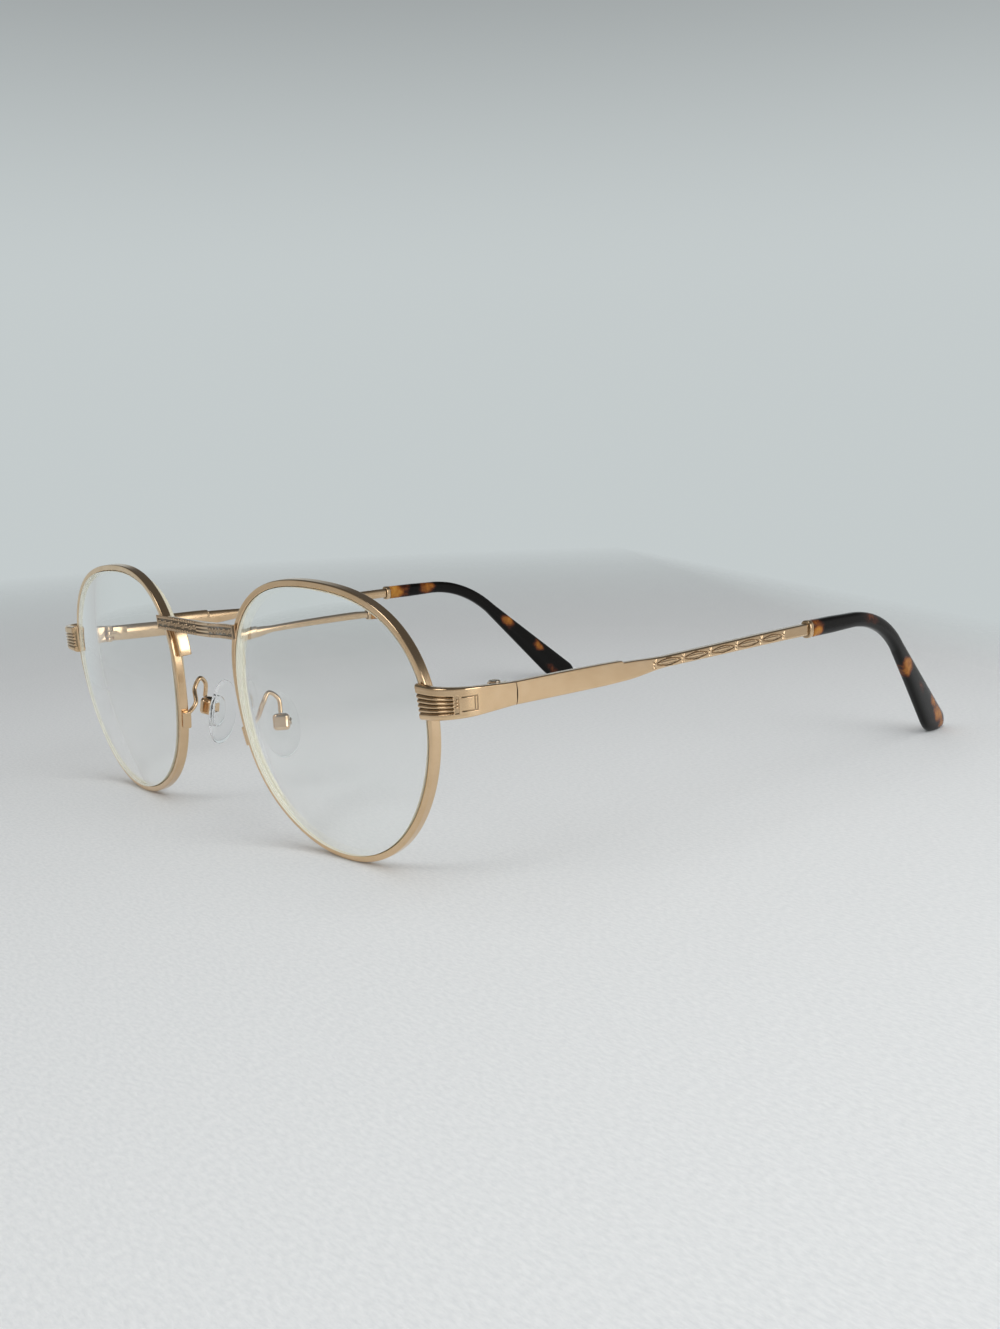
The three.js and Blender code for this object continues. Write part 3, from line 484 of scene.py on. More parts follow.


# Short upright reeds on the nasal flank: pitch, depth, how much patina and painted shade darken
# their troughs, and the heights from the bridge's foot between which they fade in and out
REED_PITCH, REED_DEPTH, REED_PATINA_SHADE = 0.56, 0.13, 0.5
REED_LOW, REED_HIGH = (-2.6, -0.9), (0.2, 0.6)


def rims():
    section = rim_section()
    half_slit = RIM_SLIT / RIM_WIDTH
    angles = np.linspace(SLIT_ANGLE + half_slit, SLIT_ANGLE + 2 * math.pi - half_slit, 420)
    height = rim_line(angles)[:, 1] - BRIDGE_FOOT
    nasal = np.cos(angles) < 0
    reach = nasal * smooth(height, *REED_LOW) * (1 - smooth(height, *REED_HIGH))
    flank = section[:, 0] > RIM_OUT - 0.05
    wave = 2 * math.pi * (section[:, 1] + RIM_HALF) / REED_PITCH
    reeds = reach[:, None] * np.where(flank, 0.5 - 0.5 * np.cos(wave), 0)
    inset = section[:, 0] - REED_DEPTH * reeds
    points, faces = loft(from_eye(rim_point(angles[:, None], inset), section[:, 1]))
    # Patina and painted shade in the reeds' troughs
    add_pair("rim", points, faces, GOLD, "front", "gold_metal", worn=(REED_PATINA_SHADE * reeds).ravel())


# Depths of the two sides of the ground skin in a lens edge
FROST_INSETS = 0.01, 0.03


def lenses():
    count = 180
    angles = SLIT_ANGLE + turns(count)
    middle = np.array([RIM_WIDTH / 2, RIM_HEIGHT / 2])
    edge = rim_point(angles, -RIM_OUT - LENS_FIT)
    bevel = GROOVE_WIDTH / 2 - LENS_FIT
    reach = np.linalg.norm(edge - middle, axis=1).max()

    def sag(radius, distance):
        return radius - np.sqrt(radius * radius - distance * distance)

    front_middle = -LENS_FRONT_EDGE - sag(LENS_FRONT_RADIUS, reach)
    back_middle = front_middle + LENS_CENTRE
    shares = np.linspace(0, 1, 22)[1:]

    def dome(radius, start, share):
        points = middle + (edge - middle) * share
        return from_eye(points, start + sag(radius, np.linalg.norm(points - middle, axis=1)))

    def edge_lines(inset):
        flat = rim_point(angles, -RIM_OUT - LENS_FIT - inset)
        peak = rim_point(angles, -RIM_OUT + GROOVE_DEPTH - LENS_FIT - inset)
        away = np.linalg.norm(flat - middle, axis=1)
        front_at = front_middle + sag(LENS_FRONT_RADIUS, away) + inset
        back_at = back_middle + sag(LENS_BACK_RADIUS, away) - inset
        return [from_eye(flat, front_at), from_eye(flat, -bevel), from_eye(peak, 0),
                from_eye(flat, bevel), from_eye(flat, back_at)]

    rings = [dome(LENS_FRONT_RADIUS, front_middle, s) for s in shares]
    first_edge = len(rings) - 1
    rings += edge_lines(0)[1:-1]
    last_edge = len(rings)
    rings += [dome(LENS_BACK_RADIUS, back_middle, s) for s in shares[::-1]]
    stations = len(rings)
    points = np.concatenate([np.concatenate(rings),
                             [from_eye(middle, front_middle), from_eye(middle, back_middle)]])
    faces = loft_faces(stations, count)[:-2]
    polished, ground, behind_rim = range(3)
    zones = [ground if first_edge <= i // count < last_edge else polished
             for i in range(len(faces))]
    zones[(last_edge - 1) * count:last_edge * count] = [behind_rim] * count
    # Ground skin just inside the edge, which shows through the glass as a pale band
    outer, inner = (edge_lines(inset) for inset in FROST_INSETS)
    skin_lines = outer + inner[::-1]
    skin = np.concatenate(skin_lines)
    skin_faces = loft_faces(len(skin_lines), count, True)
    front, back = stations * count, stations * count + 1
    for j in range(count):
        k = (j + 1) % count
        faces.append((front, k, j))
        faces.append((back, (stations - 1) * count + j, (stations - 1) * count + k))
        zones += [polished, polished]
    for side, mirror in SIDES:
        lens = add_piece(
            f"lens_{side}_fine", points, faces, [GLASS, GLASS_EDGE, GLASS_EDGE_OPEN],
            "front", "lens_glass", [f"lens_{side}"], mirror, crease=25, zones=zones)
        # Clear glass lets the light through to its own ground edge and to the floor, and the
        # light that bounces about inside it isn't followed
        lens.visible_shadow = False
        lens.visible_diffuse = False
        lens.visible_glossy = False
        add_piece(f"lens_{side}_frosting", skin, skin_faces, GLASS_EDGE, "front", "lens_glass",
                  (), mirror)


# Relief faces

def face_section(half, edge, levels, thick, back_edge):
    """Levels and inward depths of a band, its rounded front face first, and that face's count."""
    low = [(-half + edge * (1 - math.cos(t)), edge * (1 - math.sin(t)))
           for t in np.linspace(0, math.pi / 2, 6)]
    flat = [(v, 0.0) for v in np.linspace(-half + edge, half - edge, levels)[1:-1]]
    face = low + flat + [(-v, deep) for v, deep in low[::-1]]
    back = [(half, thick - back_edge), (half - back_edge, thick),
            (-half + back_edge, thick), (-half, thick - back_edge)]
    return np.array(face + back), len(face)


def stroke(u, v, line, width):
    """The share of a line that is drawn through a row of points."""
    best = np.full(np.shape(u), 1e9)
    for (ax, ay), (bx, by) in zip(line[:-1], line[1:]):
        dx, dy = bx - ax, by - ay
        long = dx * dx + dy * dy
        t = np.clip(((u - ax) * dx + (v - ay) * dy) / max(long, 1e-12), 0, 1)
        best = np.minimum(best, np.hypot(u - ax - t * dx, v - ay - t * dy))
    return line_share(best, width)


def scroll_line(size):
    """One leaf scroll: a stem that rolls up into a curl."""
    t = np.linspace(0, 1, 26)
    turn = math.pi * (1.15 - 2.7 * t)
    radius = size * (1 - 0.72 * t)
    return np.stack([radius * np.cos(turn), radius * np.sin(turn)], -1)


# Relief of the bridge: its middle's ribs, then the beads and scrolls of its sides
BRIDGE_EDGE, BRIDGE_BACK, BRIDGE_RIBS, BRIDGE_RIB_DEPTH = 0.16, 0.12, 4, 0.2
MIDDLE_END, BEADS_START, SCROLLS_START = (2.0, 2.35), 2.45, 2.5
BEAD_PITCH, BEAD_RADIUS, BEAD_INSET, BEAD_RISE = 0.62, 0.27, 0.33, 0.24
SCROLL_PITCH, SCROLL_AT, SCROLL_SIZE, SCROLL_WIDTH, SCROLL_RISE = 1.9, 0.48, 0.46, 0.15, 0.17


def bridge():
    nasal_low = rim_point(rim_angle(BRIDGE_FOOT, False), RIM_OUT)
    nasal_mid = rim_point(rim_angle(BRIDGE_Z, False), RIM_OUT)
    bend = NOSE_GAP / 2 + nasal_low[0] - 0.3
    end = NOSE_GAP / 2 + nasal_mid[0] + BRIDGE_LAP
    back_depth = -RIM_HALF + nasal_low[0] * math.sin(WRAP) - SEAT
    half = BRIDGE_TALL / 2
    thick_unit = 1.0
    section, face = face_section(half, BRIDGE_EDGE, 58, thick_unit, BRIDGE_BACK)
    x = np.linspace(-end, end, 620)
    level, inward = section[:, 0], section[:, 1]
    u, v = np.meshgrid(x, level[:face], indexing="ij")

    # Middle: four plain ribs. Sides: a bead row at each edge with scrollwork between
    out = np.abs(u)
    side = smooth(out, *MIDDLE_END)
    wave = math.pi * (v + half) / BRIDGE_TALL * BRIDGE_RIBS
    ribs = BRIDGE_RIB_DEPTH * (1 - np.abs(np.sin(wave)))
    along = (out - BEADS_START) % BEAD_PITCH - BEAD_PITCH / 2
    beads = np.zeros_like(u)
    for row in (half - BEAD_INSET, -half + BEAD_INSET):
        beads = np.maximum(beads, bead_share(np.hypot(along, v - row) / BEAD_RADIUS))
    beads *= out < end - 0.35
    cell = (out - SCROLLS_START) % SCROLL_PITCH
    line = scroll_line(SCROLL_SIZE)
    leaf = np.zeros_like(u)
    for centre, flip in ((SCROLL_AT, 1), (SCROLL_AT + SCROLL_PITCH / 2, -1)):
        for shift in (-SCROLL_PITCH, 0, SCROLL_PITCH):
            leaf = np.maximum(leaf, stroke(
                cell - shift - centre, (v - 0.06 * flip) * flip, line, SCROLL_WIDTH))
    leaf *= (np.abs(v) < half - 0.62) & (out < end - 0.4)
    sunk = SCROLL_RISE - SCROLL_RISE * np.sqrt(leaf) - BEAD_RISE * beads
    sunk = lerp(sunk, 0.0, smooth(out, end - 0.42, end - 0.3))
    relief = lerp(ribs, sunk, side)
    relief += 0.35 * (1 - bead_share(smooth(out, end - 0.25, end)))
    # Patina and painted shade: the scroll field a little darker all over, and each hollow darker by
    # its depth
    dark = 0.2 * side + np.clip(relief / 0.15, 0, 1) * lerp(0.8, 1.0, side)

    middle = 0.5 + 0.5 * np.cos(math.pi * np.minimum(1, np.abs(x) / bend))
    back = back_depth + BRIDGE_SETBACK * middle
    thick = lerp(BRIDGE_END_THICK, BRIDGE_MID_THICK, middle)
    height = BRIDGE_Z - BRIDGE_SAG * middle
    edge = np.clip((half - np.abs(level[:face])) / BRIDGE_EDGE, 0, 1)
    depth = np.empty((len(x), len(section)))
    depth[:, :face] = (back - thick)[:, None] + inward[:face] + relief * edge
    depth[:, face:] = back[:, None] + inward[face:] - thick_unit
    depth = np.minimum(depth, back[:, None])
    heights = height[:, None] + level
    rings = tilt(np.broadcast_to(x[:, None], depth.shape), depth, heights)
    worn = np.zeros(depth.shape)
    worn[:, :face] = dark * edge
    points, faces = loft(rings)
    add_piece("bridge_fine", points, faces, BRIGHT, "front", "gold_metal", ["bridge"],
              worn=worn.ravel(), crease=60)


# Relief of an endpiece, with distances along it and heights across it: ribs between two broad
# ridges, a sunk band with beads, and an engraved frame; the joint's end is bowed
RIBS_END, BAND_END, BAND_DEPTH = 7.2, 7.95, 0.1
RIDGE_LOW, RIDGE_HIGH, RIB_GROOVES, RIB_DEPTH = 0.78, 1.18, 5, 0.3
BAND_BEADS, BAND_BEAD_RADIUS, BAND_BEAD_RISE = (-0.58, -0.1, 0.38), 0.24, 0.2
FRAME_START, FRAME_END, FRAME_POSTS = 8.3, 10.95, (10.42, 10.88)
FRAME_LOW, FRAME_HIGH, FRAME_LINE, FRAME_DEPTH = -1.2, 0.92, 0.11, 0.1
LIP_LONG, LIP_ROUND, JOINT_BOW = 0.45, 0.4, 0.32


def endpieces():
    angles = np.linspace(-math.pi / 3, math.pi / 3, 400)
    temporal = from_eye(rim_point(angles, RIM_OUT), -RIM_HALF)
    heights = rim_line(angles)[:, 1]

    def rim_side(z):
        return np.interp(z, heights, temporal[:, 0]) - END_REACH

    inner_x = float(rim_side(HINGE_Z))
    corner_x, corner_y = HALF_WIDTH - END_RADIUS, END_FRONT_Y + END_RADIUS
    front_long = corner_x - inner_x
    bend = END_RADIUS * math.pi / 2
    whole = front_long + bend + JOINT_Y - corner_y
    way = np.unique(np.concatenate([
        np.linspace(0, 0.6, 14), np.linspace(0.6, front_long, 30),
        np.linspace(front_long, 6.8, 40), np.linspace(6.8, 11.3, 150),
        np.linspace(11.3, whole, 40)]))
    turn = np.clip((way - front_long) / END_RADIUS, 0, math.pi / 2)
    x = np.where(way < front_long, inner_x + way, corner_x + END_RADIUS * np.sin(turn))
    y = np.where(way < front_long + bend, corner_y - END_RADIUS * np.cos(turn),
                 corner_y + way - front_long - bend)
    tall = lerp(END_TALL, JOINT_TALL, way / whole)
    lean = math.tan(TILT) * (1 - smooth(way, front_long, front_long + bend))
    drop = END_DROP * (1 - smooth(way, 0, front_long + bend))
    # The lip against the rim follows half of the rim's curve
    follow = 0.5 * np.clip((front_long - way) / (front_long - LIP_LONG), 0, 1)

    rings, worn = [], []
    for i, w in enumerate(way):
        half = tall[i] / 2
        round_edge = lerp(0.55, 0.24, smooth(w, front_long, front_long + bend))
        section, face = face_section(half, round_edge, 96, END_WALL, 0.2)
        level, inward = section[:, 0], section[:, 1]
        v = level[:face]
        # Four narrow ribs between a broad top and bottom ridge
        low, high = -half + RIDGE_LOW, half - RIDGE_HIGH
        t = np.clip((v - low) / (high - low), 0, 1)
        grooves = np.where((v > low) & (v < high),
                           1 - np.abs(np.cos(math.pi * RIB_GROOVES * t)), 0)
        grooves *= 1 - smooth(w, RIBS_END - 0.25, RIBS_END)
        # Sunk band behind the ribs with three beads
        band = smooth(w, RIBS_END - 0.1, RIBS_END + 0.05)
        band *= 1 - smooth(w, BAND_END - 0.1, BAND_END)
        inside = smooth(v, low, low + 0.15) * (1 - smooth(v, high - 0.15, high))
        beads = np.zeros_like(v)
        for centre in BAND_BEADS:
            d = np.hypot(w - (RIBS_END + BAND_END) / 2, v - centre) / BAND_BEAD_RADIUS
            beads = np.maximum(beads, bead_share(d))
        # Engraved frame, open towards the front, with a double line behind
        lines = np.zeros_like(v)
        if w > FRAME_START:
            for edge in (FRAME_LOW, FRAME_HIGH):
                lines = np.maximum(lines, line_share(v - edge, FRAME_LINE) * (w < FRAME_END))
            for post in FRAME_POSTS:
                lines = np.maximum(lines, line_share(w - post, FRAME_LINE)
                                   * ((v > FRAME_LOW) & (v < FRAME_HIGH)))
        relief = RIB_DEPTH * grooves + BAND_DEPTH * band * inside
        relief += FRAME_DEPTH * np.sqrt(lines) - BAND_BEAD_RISE * beads * inside
        relief += LIP_ROUND * (1 - bead_share(line_share(w, LIP_LONG)))
        inward[:face] += relief
        z = HINGE_Z + level - drop[i]
        bulge = JOINT_BOW * (1 - (level / half) ** 2) * smooth(w, whole - 2.0, whole)
        rings.append(np.stack([
            x[i] + (rim_side(z) - inner_x) * follow[i] - inward * math.sin(turn[i]),
            y[i] + inward * math.cos(turn[i]) - level * lean[i] + bulge, z], -1))
        # Patina and painted shade: a little over the fluted front, most in the rib grooves, some in
        # the sunk band, and in the frame's lines
        mark = np.zeros(len(section))
        fluted = smooth(v, low - 0.2, low) * (1 - smooth(w, RIBS_END - 0.25, BAND_END))
        mark[:face] = np.clip(0.14 * fluted + 0.95 * grooves ** 2
                              + 0.25 * band * inside * (1 - beads) + 0.8 * lines, 0, 1)
        worn.append(mark)
    points, faces = loft(rings)
    add_pair("endpiece", points, faces, GOLD, "front", "gold_metal",
             worn=np.concatenate(worn), crease=60)


# Arms

BEND_START = BEND_AT - BEND_RADIUS * math.tan(BEND_TURN / 2)
BEND_LONG = BEND_RADIUS * BEND_TURN
TIP_ROUND = TIP_END_TALL / 2
GROUND_Z = -SHIFT[2]
DROP_LONG = (HINGE_Z + RISE - BEND_RADIUS * (1 - math.cos(BEND_TURN)) - GROUND_Z
             - TIP_ROUND + TIP_FOOT) / math.sin(BEND_TURN)
PATH_LONG = BEND_START + BEND_LONG + DROP_LONG


def arm_place(d):
    """Place of the arm's outer side at distances behind the joint, and how far it has turned."""
    turn = np.clip((d - BEND_START) / BEND_RADIUS, 0, BEND_TURN)
    past = np.maximum(0, d - BEND_START - BEND_LONG)
    y = (JOINT_Y + np.minimum(d, BEND_START) + BEND_RADIUS * np.sin(turn)
         + past * math.cos(BEND_TURN))
    fall = BEND_RADIUS * (1 - np.cos(turn)) + past * math.sin(BEND_TURN)
    z = HINGE_Z + RISE * smooth(d, BROAD, COLLAR_AT) - fall
    bow = np.maximum(0, d - BROAD) / (PATH_LONG - BROAD)
    behind = np.clip(d - BEND_START, 0, BEND_LONG)
    lean = TIP_LEAN * (behind * behind / BEND_LONG / 2 + past)
    return HALF_WIDTH - BOW * bow * bow - lean, y, z, turn


def arm_rings(distance, inward, up):
    """Rings across the arm's path: inward from its outer side, and up."""
    x, y, z, turn = (a[:, None] for a in arm_place(distance))
    return np.stack([x - inward, y + up * np.sin(turn), z + up * np.cos(turn)], -1)


def oval(thick, tall, sides=48):
    """Full ovals round the rod's middle line, as depths and heights for arm_rings."""
    angle, fullness = turns(sides), 0.75
    deep, up = (np.sign(c) * np.abs(c) ** fullness for c in (np.cos(angle), np.sin(angle)))
    return ROD_THICK / 2 + deep * thick[:, None] / 2, up * tall[:, None] / 2


# Distances of the knots behind the joint, and of the stretch that is meshed finely for them
KNOTS = (32.05, 39.45, 46.9, 54.55, 61.95, 69.05)
ORNAMENT = 31.4, 70.2
# Half height of a lozenge, half widths of its drawn lines, and a knot's cross and bead
LOZENGE_HALF, LOZENGE_LINE, LOZENGE_CORE = 0.56, 0.12, 0.09
KNOT_LINE, KNOT_HALF, KNOT_BEAD = 0.15, 0.72, 0.3


def arm_ornament(d, v):
    """Relief of the rod's outer side: a chain of lozenges joined by small knots, with patina and
    painted shade in their engraved lines.
    """
    sunk, dark = np.zeros_like(v), np.zeros_like(v)
    for start, end in zip(KNOTS[:-1], KNOTS[1:]):
        t = (d - start) / (end - start)
        inside = (t > 0.07) & (t < 0.93)
        lobe = LOZENGE_HALF * np.sin(math.pi * np.clip((t - 0.05) / 0.9, 0, 1)) ** 0.85
        line = line_share(np.abs(v) - lobe, LOZENGE_LINE) * inside
        core = line_share(np.abs(v) - lobe * 0.45, LOZENGE_CORE) * inside
        core *= (t > 0.22) & (t < 0.78)
        hill = line_share(v, np.maximum(lobe, 1e-3)) * inside
        sunk += 0.14 * np.sqrt(line) + 0.06 * np.sqrt(core) - 0.07 * hill
        dark += 0.8 * line + 0.5 * core
    for knot in KNOTS:
        cross = np.zeros_like(v)
        for way in (-1, 1):
            cross = np.maximum(cross, line_share(d - knot - way * v * 0.42, KNOT_LINE))
        cross *= np.abs(v) < KNOT_HALF
        bead = bead_share(np.hypot(d - knot, v) / KNOT_BEAD)
        sunk += 0.13 * np.sqrt(cross) * (1 - bead) - 0.14 * bead
        dark += 0.7 * cross * (1 - bead)
    return sunk, np.clip(dark, 0, 1)


def arms():
    broad = BROAD_TALL / 2
    stop = COLLAR_AT - SEAT
    distance = np.unique(np.concatenate([
        np.linspace(JOINT_GAP, 1.2, 8), np.linspace(1.2, BROAD - 0.6, 30),
        np.linspace(BROAD - 0.6, BROAD + 1.2, 26), np.linspace(BROAD + 1.2, ORNAMENT[0], 30),
        np.linspace(*ORNAMENT, 640), np.linspace(ORNAMENT[1], stop, 12)]))
    joint_half = JOINT_TALL / 2
    low_at = (JOINT_GAP, BROAD * 0.45, BROAD * 0.85, BROAD)
    bottom = np.interp(distance, low_at, (-joint_half, -broad, -broad, -broad * 0.95))
    top = np.interp(distance, low_at, (joint_half, broad, broad * 0.97, broad * 0.93))
    ease = smooth(distance, BROAD + 0.3, BROAD + TAPER)
    rod = np.interp(distance, (BROAD + TAPER, stop), (ROD_TALL, ROD_END_TALL)) / 2
    behind = distance > BROAD
    step = smooth(distance, BROAD, BROAD + 0.5) * SHOULDER
    bottom = np.where(behind, lerp(-broad * 0.94, -rod, ease), bottom)
    top = np.where(behind, lerp(broad * 0.93 - step, rod, ease), top)
    thick = lerp(ARM_THICK, ROD_THICK, ease)
    inward, up, worn = [], [], []
    for i, d in enumerate(distance):
        half = (top[i] - bottom[i]) / 2
        centre = (top[i] + bottom[i]) / 2
        edge = lerp(0.22, 0.38, ease[i])
        section, face = face_section(half, edge, 44, thick[i], 0.3)
        level, deep = section[:, 0], section[:, 1]
        mark = np.zeros(len(section))
        if KNOTS[0] - 1 < d < KNOTS[-1] + 1:
            relief, dark = arm_ornament(d, level[:face] + centre)
            inside = np.clip((half - np.abs(level[:face])) / 0.3, 0, 1)
            deep[:face] += relief * inside
            # Patina and painted shade in the engraved lines
            mark[:face] = dark * inside
        inward.append(deep)
        up.append(level + centre)
        worn.append(mark)
    rings = arm_rings(distance, np.array(inward), np.array(up))
    # The front end is bowed to fit the endpiece
    level = np.array(up) / joint_half
    fade = 1 - smooth(distance, JOINT_GAP, 2.2)
    rings[:, :, 1] += JOINT_BOW * np.clip(1 - level ** 2, 0, 1) * fade[:, None]
    # Core wire that runs on inside the tip
    core_at = np.concatenate([
        [stop + 0.05], np.linspace(BEND_START, BEND_START + BEND_LONG, 12), [PATH_LONG - 10]])
    turn = turns(12)
    shape = len(core_at), len(turn)
    core = arm_rings(core_at, np.broadcast_to(ROD_THICK / 2 + CORE_HALF * np.cos(turn), shape),
                     np.broadcast_to(CORE_HALF_TALL * np.sin(turn), shape))
    points, faces = merge(loft(rings), loft(core))
    worn = np.concatenate(worn + [np.zeros(core[..., 0].size)])
    for side, mirror in SIDES:
        add_piece(f"arm_{side}_fine", points, faces, GOLD, f"{side}_arm", "gold_metal",
                  [f"temple_{side}"], mirror, worn=worn, crease=50)


def ferrules():
    share = np.array([0, 0.03, 0.09, 0.2, 0.5, 0.8, 0.91, 0.97, 1])
    size = np.array([0.86, 0.94, 0.985, 1, 1, 1, 0.985, 0.94, 0.86])
    inward, up = oval(FERRULE_THICK * size, FERRULE_TALL * size)
    rings = arm_rings(COLLAR_AT + FERRULE_LONG * share, inward, up)
    points, faces = loft(rings)
    # Painted shade at both ends, where the ferrule meets the rod and the tip
    worn = np.repeat(np.interp(share, (0, 0.09, 0.91, 1), (0.7, 0, 0, 0.7)), inward.shape[1])
    add_pair("ferrule", points, faces, GOLD, "{}_arm", "gold_metal", worn=worn)


# Amber clouds of each tip: distance along the arm, height in the section, length, height, strength
AMBER = {
    "left": ((79.6, -0.8, 2.1, 1.3, 0.85), (80.2, 0.9, 1.8, 1.2, 0.5),
             (98.9, 0.4, 3.0, 1.2, 0.48), (121.9, -0.5, 2.6, 1.9, 0.84),
             (132.0, 0.3, 2.2, 1.0, 0.46), (140.2, 1.9, 2.6, 1.2, 0.68),
             (145.2, 1.5, 3.6, 1.8, 0.84), (149.3, 0.7, 2.4, 1.8, 0.76)),
    "right": ((79.8, 0.0, 3.0, 3.0, 0.92), (83.8, 0.0, 1.4, 2.5, 0.5),
              (91.0, 0.3, 2.6, 1.7, 0.7), (121.5, 0.3, 2.4, 1.6, 0.78),
              (134.6, 1.0, 2.1, 1.4, 0.72), (143.0, -1.5, 2.6, 1.3, 0.5)),
}
# How abruptly a cloud ends, and how far its outline wavers along and across the tip
AMBER_EDGE, AMBER_WAVER = 2.2, (0.35, 0.18)


def tips():
    start = COLLAR_AT + FERRULE_LONG + SEAT
    bend_end = BEND_START + BEND_LONG
    straight = np.concatenate([start + np.array([0, 0.05, 0.15, 0.3]),
                               np.linspace(start + 0.8, PATH_LONG, 130)])
    tall_at = (start, lerp(start, BEND_START, 0.5), BEND_START, bend_end, PATH_LONG)
    tall = np.interp(straight, tall_at,
                     (TIP_TALL, TIP_TALL, TIP_BEND_TALL, TIP_BEND_TALL, TIP_END_TALL))
    thick = np.interp(straight, (start, bend_end, PATH_LONG), (TIP_THICK, TIP_THICK, TIP_END_THICK))
    lip = np.interp(straight - start, (0, 0.05, 0.15, 0.3), (0.9, 0.95, 0.985, 1))
    turn = np.radians(np.linspace(0, 88, 22)[1:])
    distance = np.concatenate([straight, PATH_LONG + TIP_ROUND * np.sin(turn)])
    tall = np.concatenate([tall * lip, TIP_END_TALL * np.cos(turn)])
    thick = np.concatenate([thick * lip, TIP_END_THICK * np.sqrt(np.cos(turn))])
    inward, up = oval(thick, tall)
    rings = arm_rings(distance, inward, up)
    # The end stands flat: what would lie below the ground is pressed up into a rounded foot
    height = rings[:, :, 2] - GROUND_Z
    pressed = np.clip(height + TIP_FOOT, 0, None) ** 2 / (4 * TIP_FOOT)
    rings[:, :, 2] = GROUND_Z + np.where(height < TIP_FOOT, pressed, height)
    points, faces = loft(rings)
    for side, mirror in SIDES:
        cloud = np.zeros(up.shape)
        for at, height, long, high, strength in AMBER[side]:
            along = distance[:, None] - at + AMBER_WAVER[0] * np.sin(1.9 * up + at)
            across = up - height + AMBER_WAVER[1] * np.sin(1.6 * distance[:, None] + 2 * at)
            away = (along / long) ** 2 + (across / high) ** 2
            past = np.exp(np.minimum(AMBER_EDGE * (away - 1), 50))
            cloud = np.maximum(cloud, 1.1 * strength / (1 + past))
        add_piece(f"tip_{side}_fine", points, faces, TORTOISE, f"{side}_arm", "tortoise_acetate",
                  [f"temple_tip_{side}"], mirror, amber=cloud.ravel())


# Nose pads

def pad_matrix():
    """From the pad's own frame, with its screw at the origin, to the part's."""
    turn = Matrix.Rotation(-PAD_SPLAY, 4, "Z") @ Matrix.Rotation(-PAD_FRONTAL, 4, "Y")
    middle = Vector((PAD_X, -PAD_Z * math.sin(TILT) + PAD_Y, PAD_Z))
    axis = middle + turn @ Vector((PAD_STANDOFF + PAD_THICK / 2, 0, 0))
    return np.array(Matrix.Translation(axis) @ turn)


PAD = pad_matrix()


def from_pad(points):
    points = np.asarray(points, float)
    return points @ PAD[:3, :3].T + PAD[:3, 3]


def spline(knots, count):
    """Smooth centripetal curve through a row of points."""
    knots = np.asarray(knots, float)
    knots = np.concatenate([[2 * knots[0] - knots[1]], knots, [2 * knots[-1] - knots[-2]]])
    spans = len(knots) - 3
    out = []
    for t in np.linspace(0, spans, count):
        i = min(int(t), spans - 1)
        f = t - i
        p = knots[i:i + 4]
        step = [max(np.linalg.norm(p[k + 1] - p[k]) ** 0.5, 1e-4) for k in range(3)]
        m1 = (p[1] - p[0]) / step[0] - (p[2] - p[0]) / (step[0] + step[1]) + (p[2] - p[1]) / step[1]
        m2 = (p[2] - p[1]) / step[1] - (p[3] - p[1]) / (step[1] + step[2]) + (p[3] - p[2]) / step[2]
        m1, m2 = m1 * step[1], m2 * step[1]
        out.append(p[1] + m1 * f + (-3 * p[1] + 3 * p[2] - 2 * m1 - m2) * f * f
                   + (2 * p[1] - 2 * p[2] + m1 + m2) * f ** 3)
    return np.array(out)


def tube(path, radius, sides=18):
    """Round wire along a path."""
    angle = turns(sides)
    ahead = np.gradient(path, axis=0)
    ahead /= np.linalg.norm(ahead, axis=1, keepdims=True)
    side = np.cross(ahead[0], (0, 0, 1.0))
    rings = []
    for p, a in zip(path, ahead):
        side = side - a * side.dot(a)
        side /= np.linalg.norm(side)
        other = np.cross(a, side)
        rings.append(p + radius * (np.cos(angle)[:, None] * side + np.sin(angle)[:, None] * other))
    return loft(rings)


def flank_plate(low, high, thick, front, back):
    """Rounded plate on the rim's nasal flank between two heights."""
    near = RIM_OUT + SEAT
    middle = np.array([near + thick / 2, (front + back) / 2])
    half = np.array([thick / 2, (back - front) / 2])
    corner = 0.16
    ring = []
    for sx, sy, begin in ((1, 1, 0), (-1, 1, 90), (-1, -1, 180), (1, -1, 270)):
        centre = (sx * (half[0] - corner), sy * (half[1] - corner))
        ring += arc(centre, corner, begin, begin + 90, 4)
    ring = np.array(ring)
    shares = np.concatenate([[0, 0.01, 0.03], np.linspace(0.06, 0.94, 24), [0.97, 0.99, 1]])
    shrink = np.interp(np.minimum(shares, 1 - shares), (0, 0.01, 0.03, 0.06), (0.82, 0.9, 0.97, 1))
    rings = []
    for share, size in zip(shares, shrink):
        angle = rim_angle(lerp(low, high, share), False)
        section = ring * size + middle
        rings.append(from_eye(rim_point(angle, section[:, 0]), section[:, 1]))
    return loft(rings)


def pad_arms():
    foot = flank_plate(FOOT_Z - FOOT_TALL / 2, FOOT_Z + FOOT_TALL / 2, FOOT_THICK,
                       RIM_HALF - FOOT_DEPTH, RIM_HALF)
    angle = rim_angle(FOOT_Z + FOOT_TALL * 0.3, False)
    start = from_eye(rim_point(angle, RIM_OUT + SEAT + FOOT_THICK / 2),
                     RIM_HALF - WIRE_RADIUS * 1.3)
    end = from_pad((BOX_OUTER - BOX_FLOOR / 2, 0, BOX_LONG / 2 + SEAT))
    hook_x, top = (start[0] + end[0]) / 2, end[2] + WIRE_HOOK

    def back(share):
        return lerp(start[1], end[1], share)

    path = spline([
        start, (start[0], back(0.35), lerp(start[2], top, 0.3)),
        (hook_x, back(0.48), lerp(start[2], top, 0.72)), (hook_x, back(0.72), top),
        (lerp(hook_x, end[0], 0.6), end[1], lerp(end[2], top, 0.68)), end], 110)
    points, faces = merge(foot, tube(path, WIRE_RADIUS))
    add_pair("pad_arm", points, faces, GOLD, "front", "gold_metal")


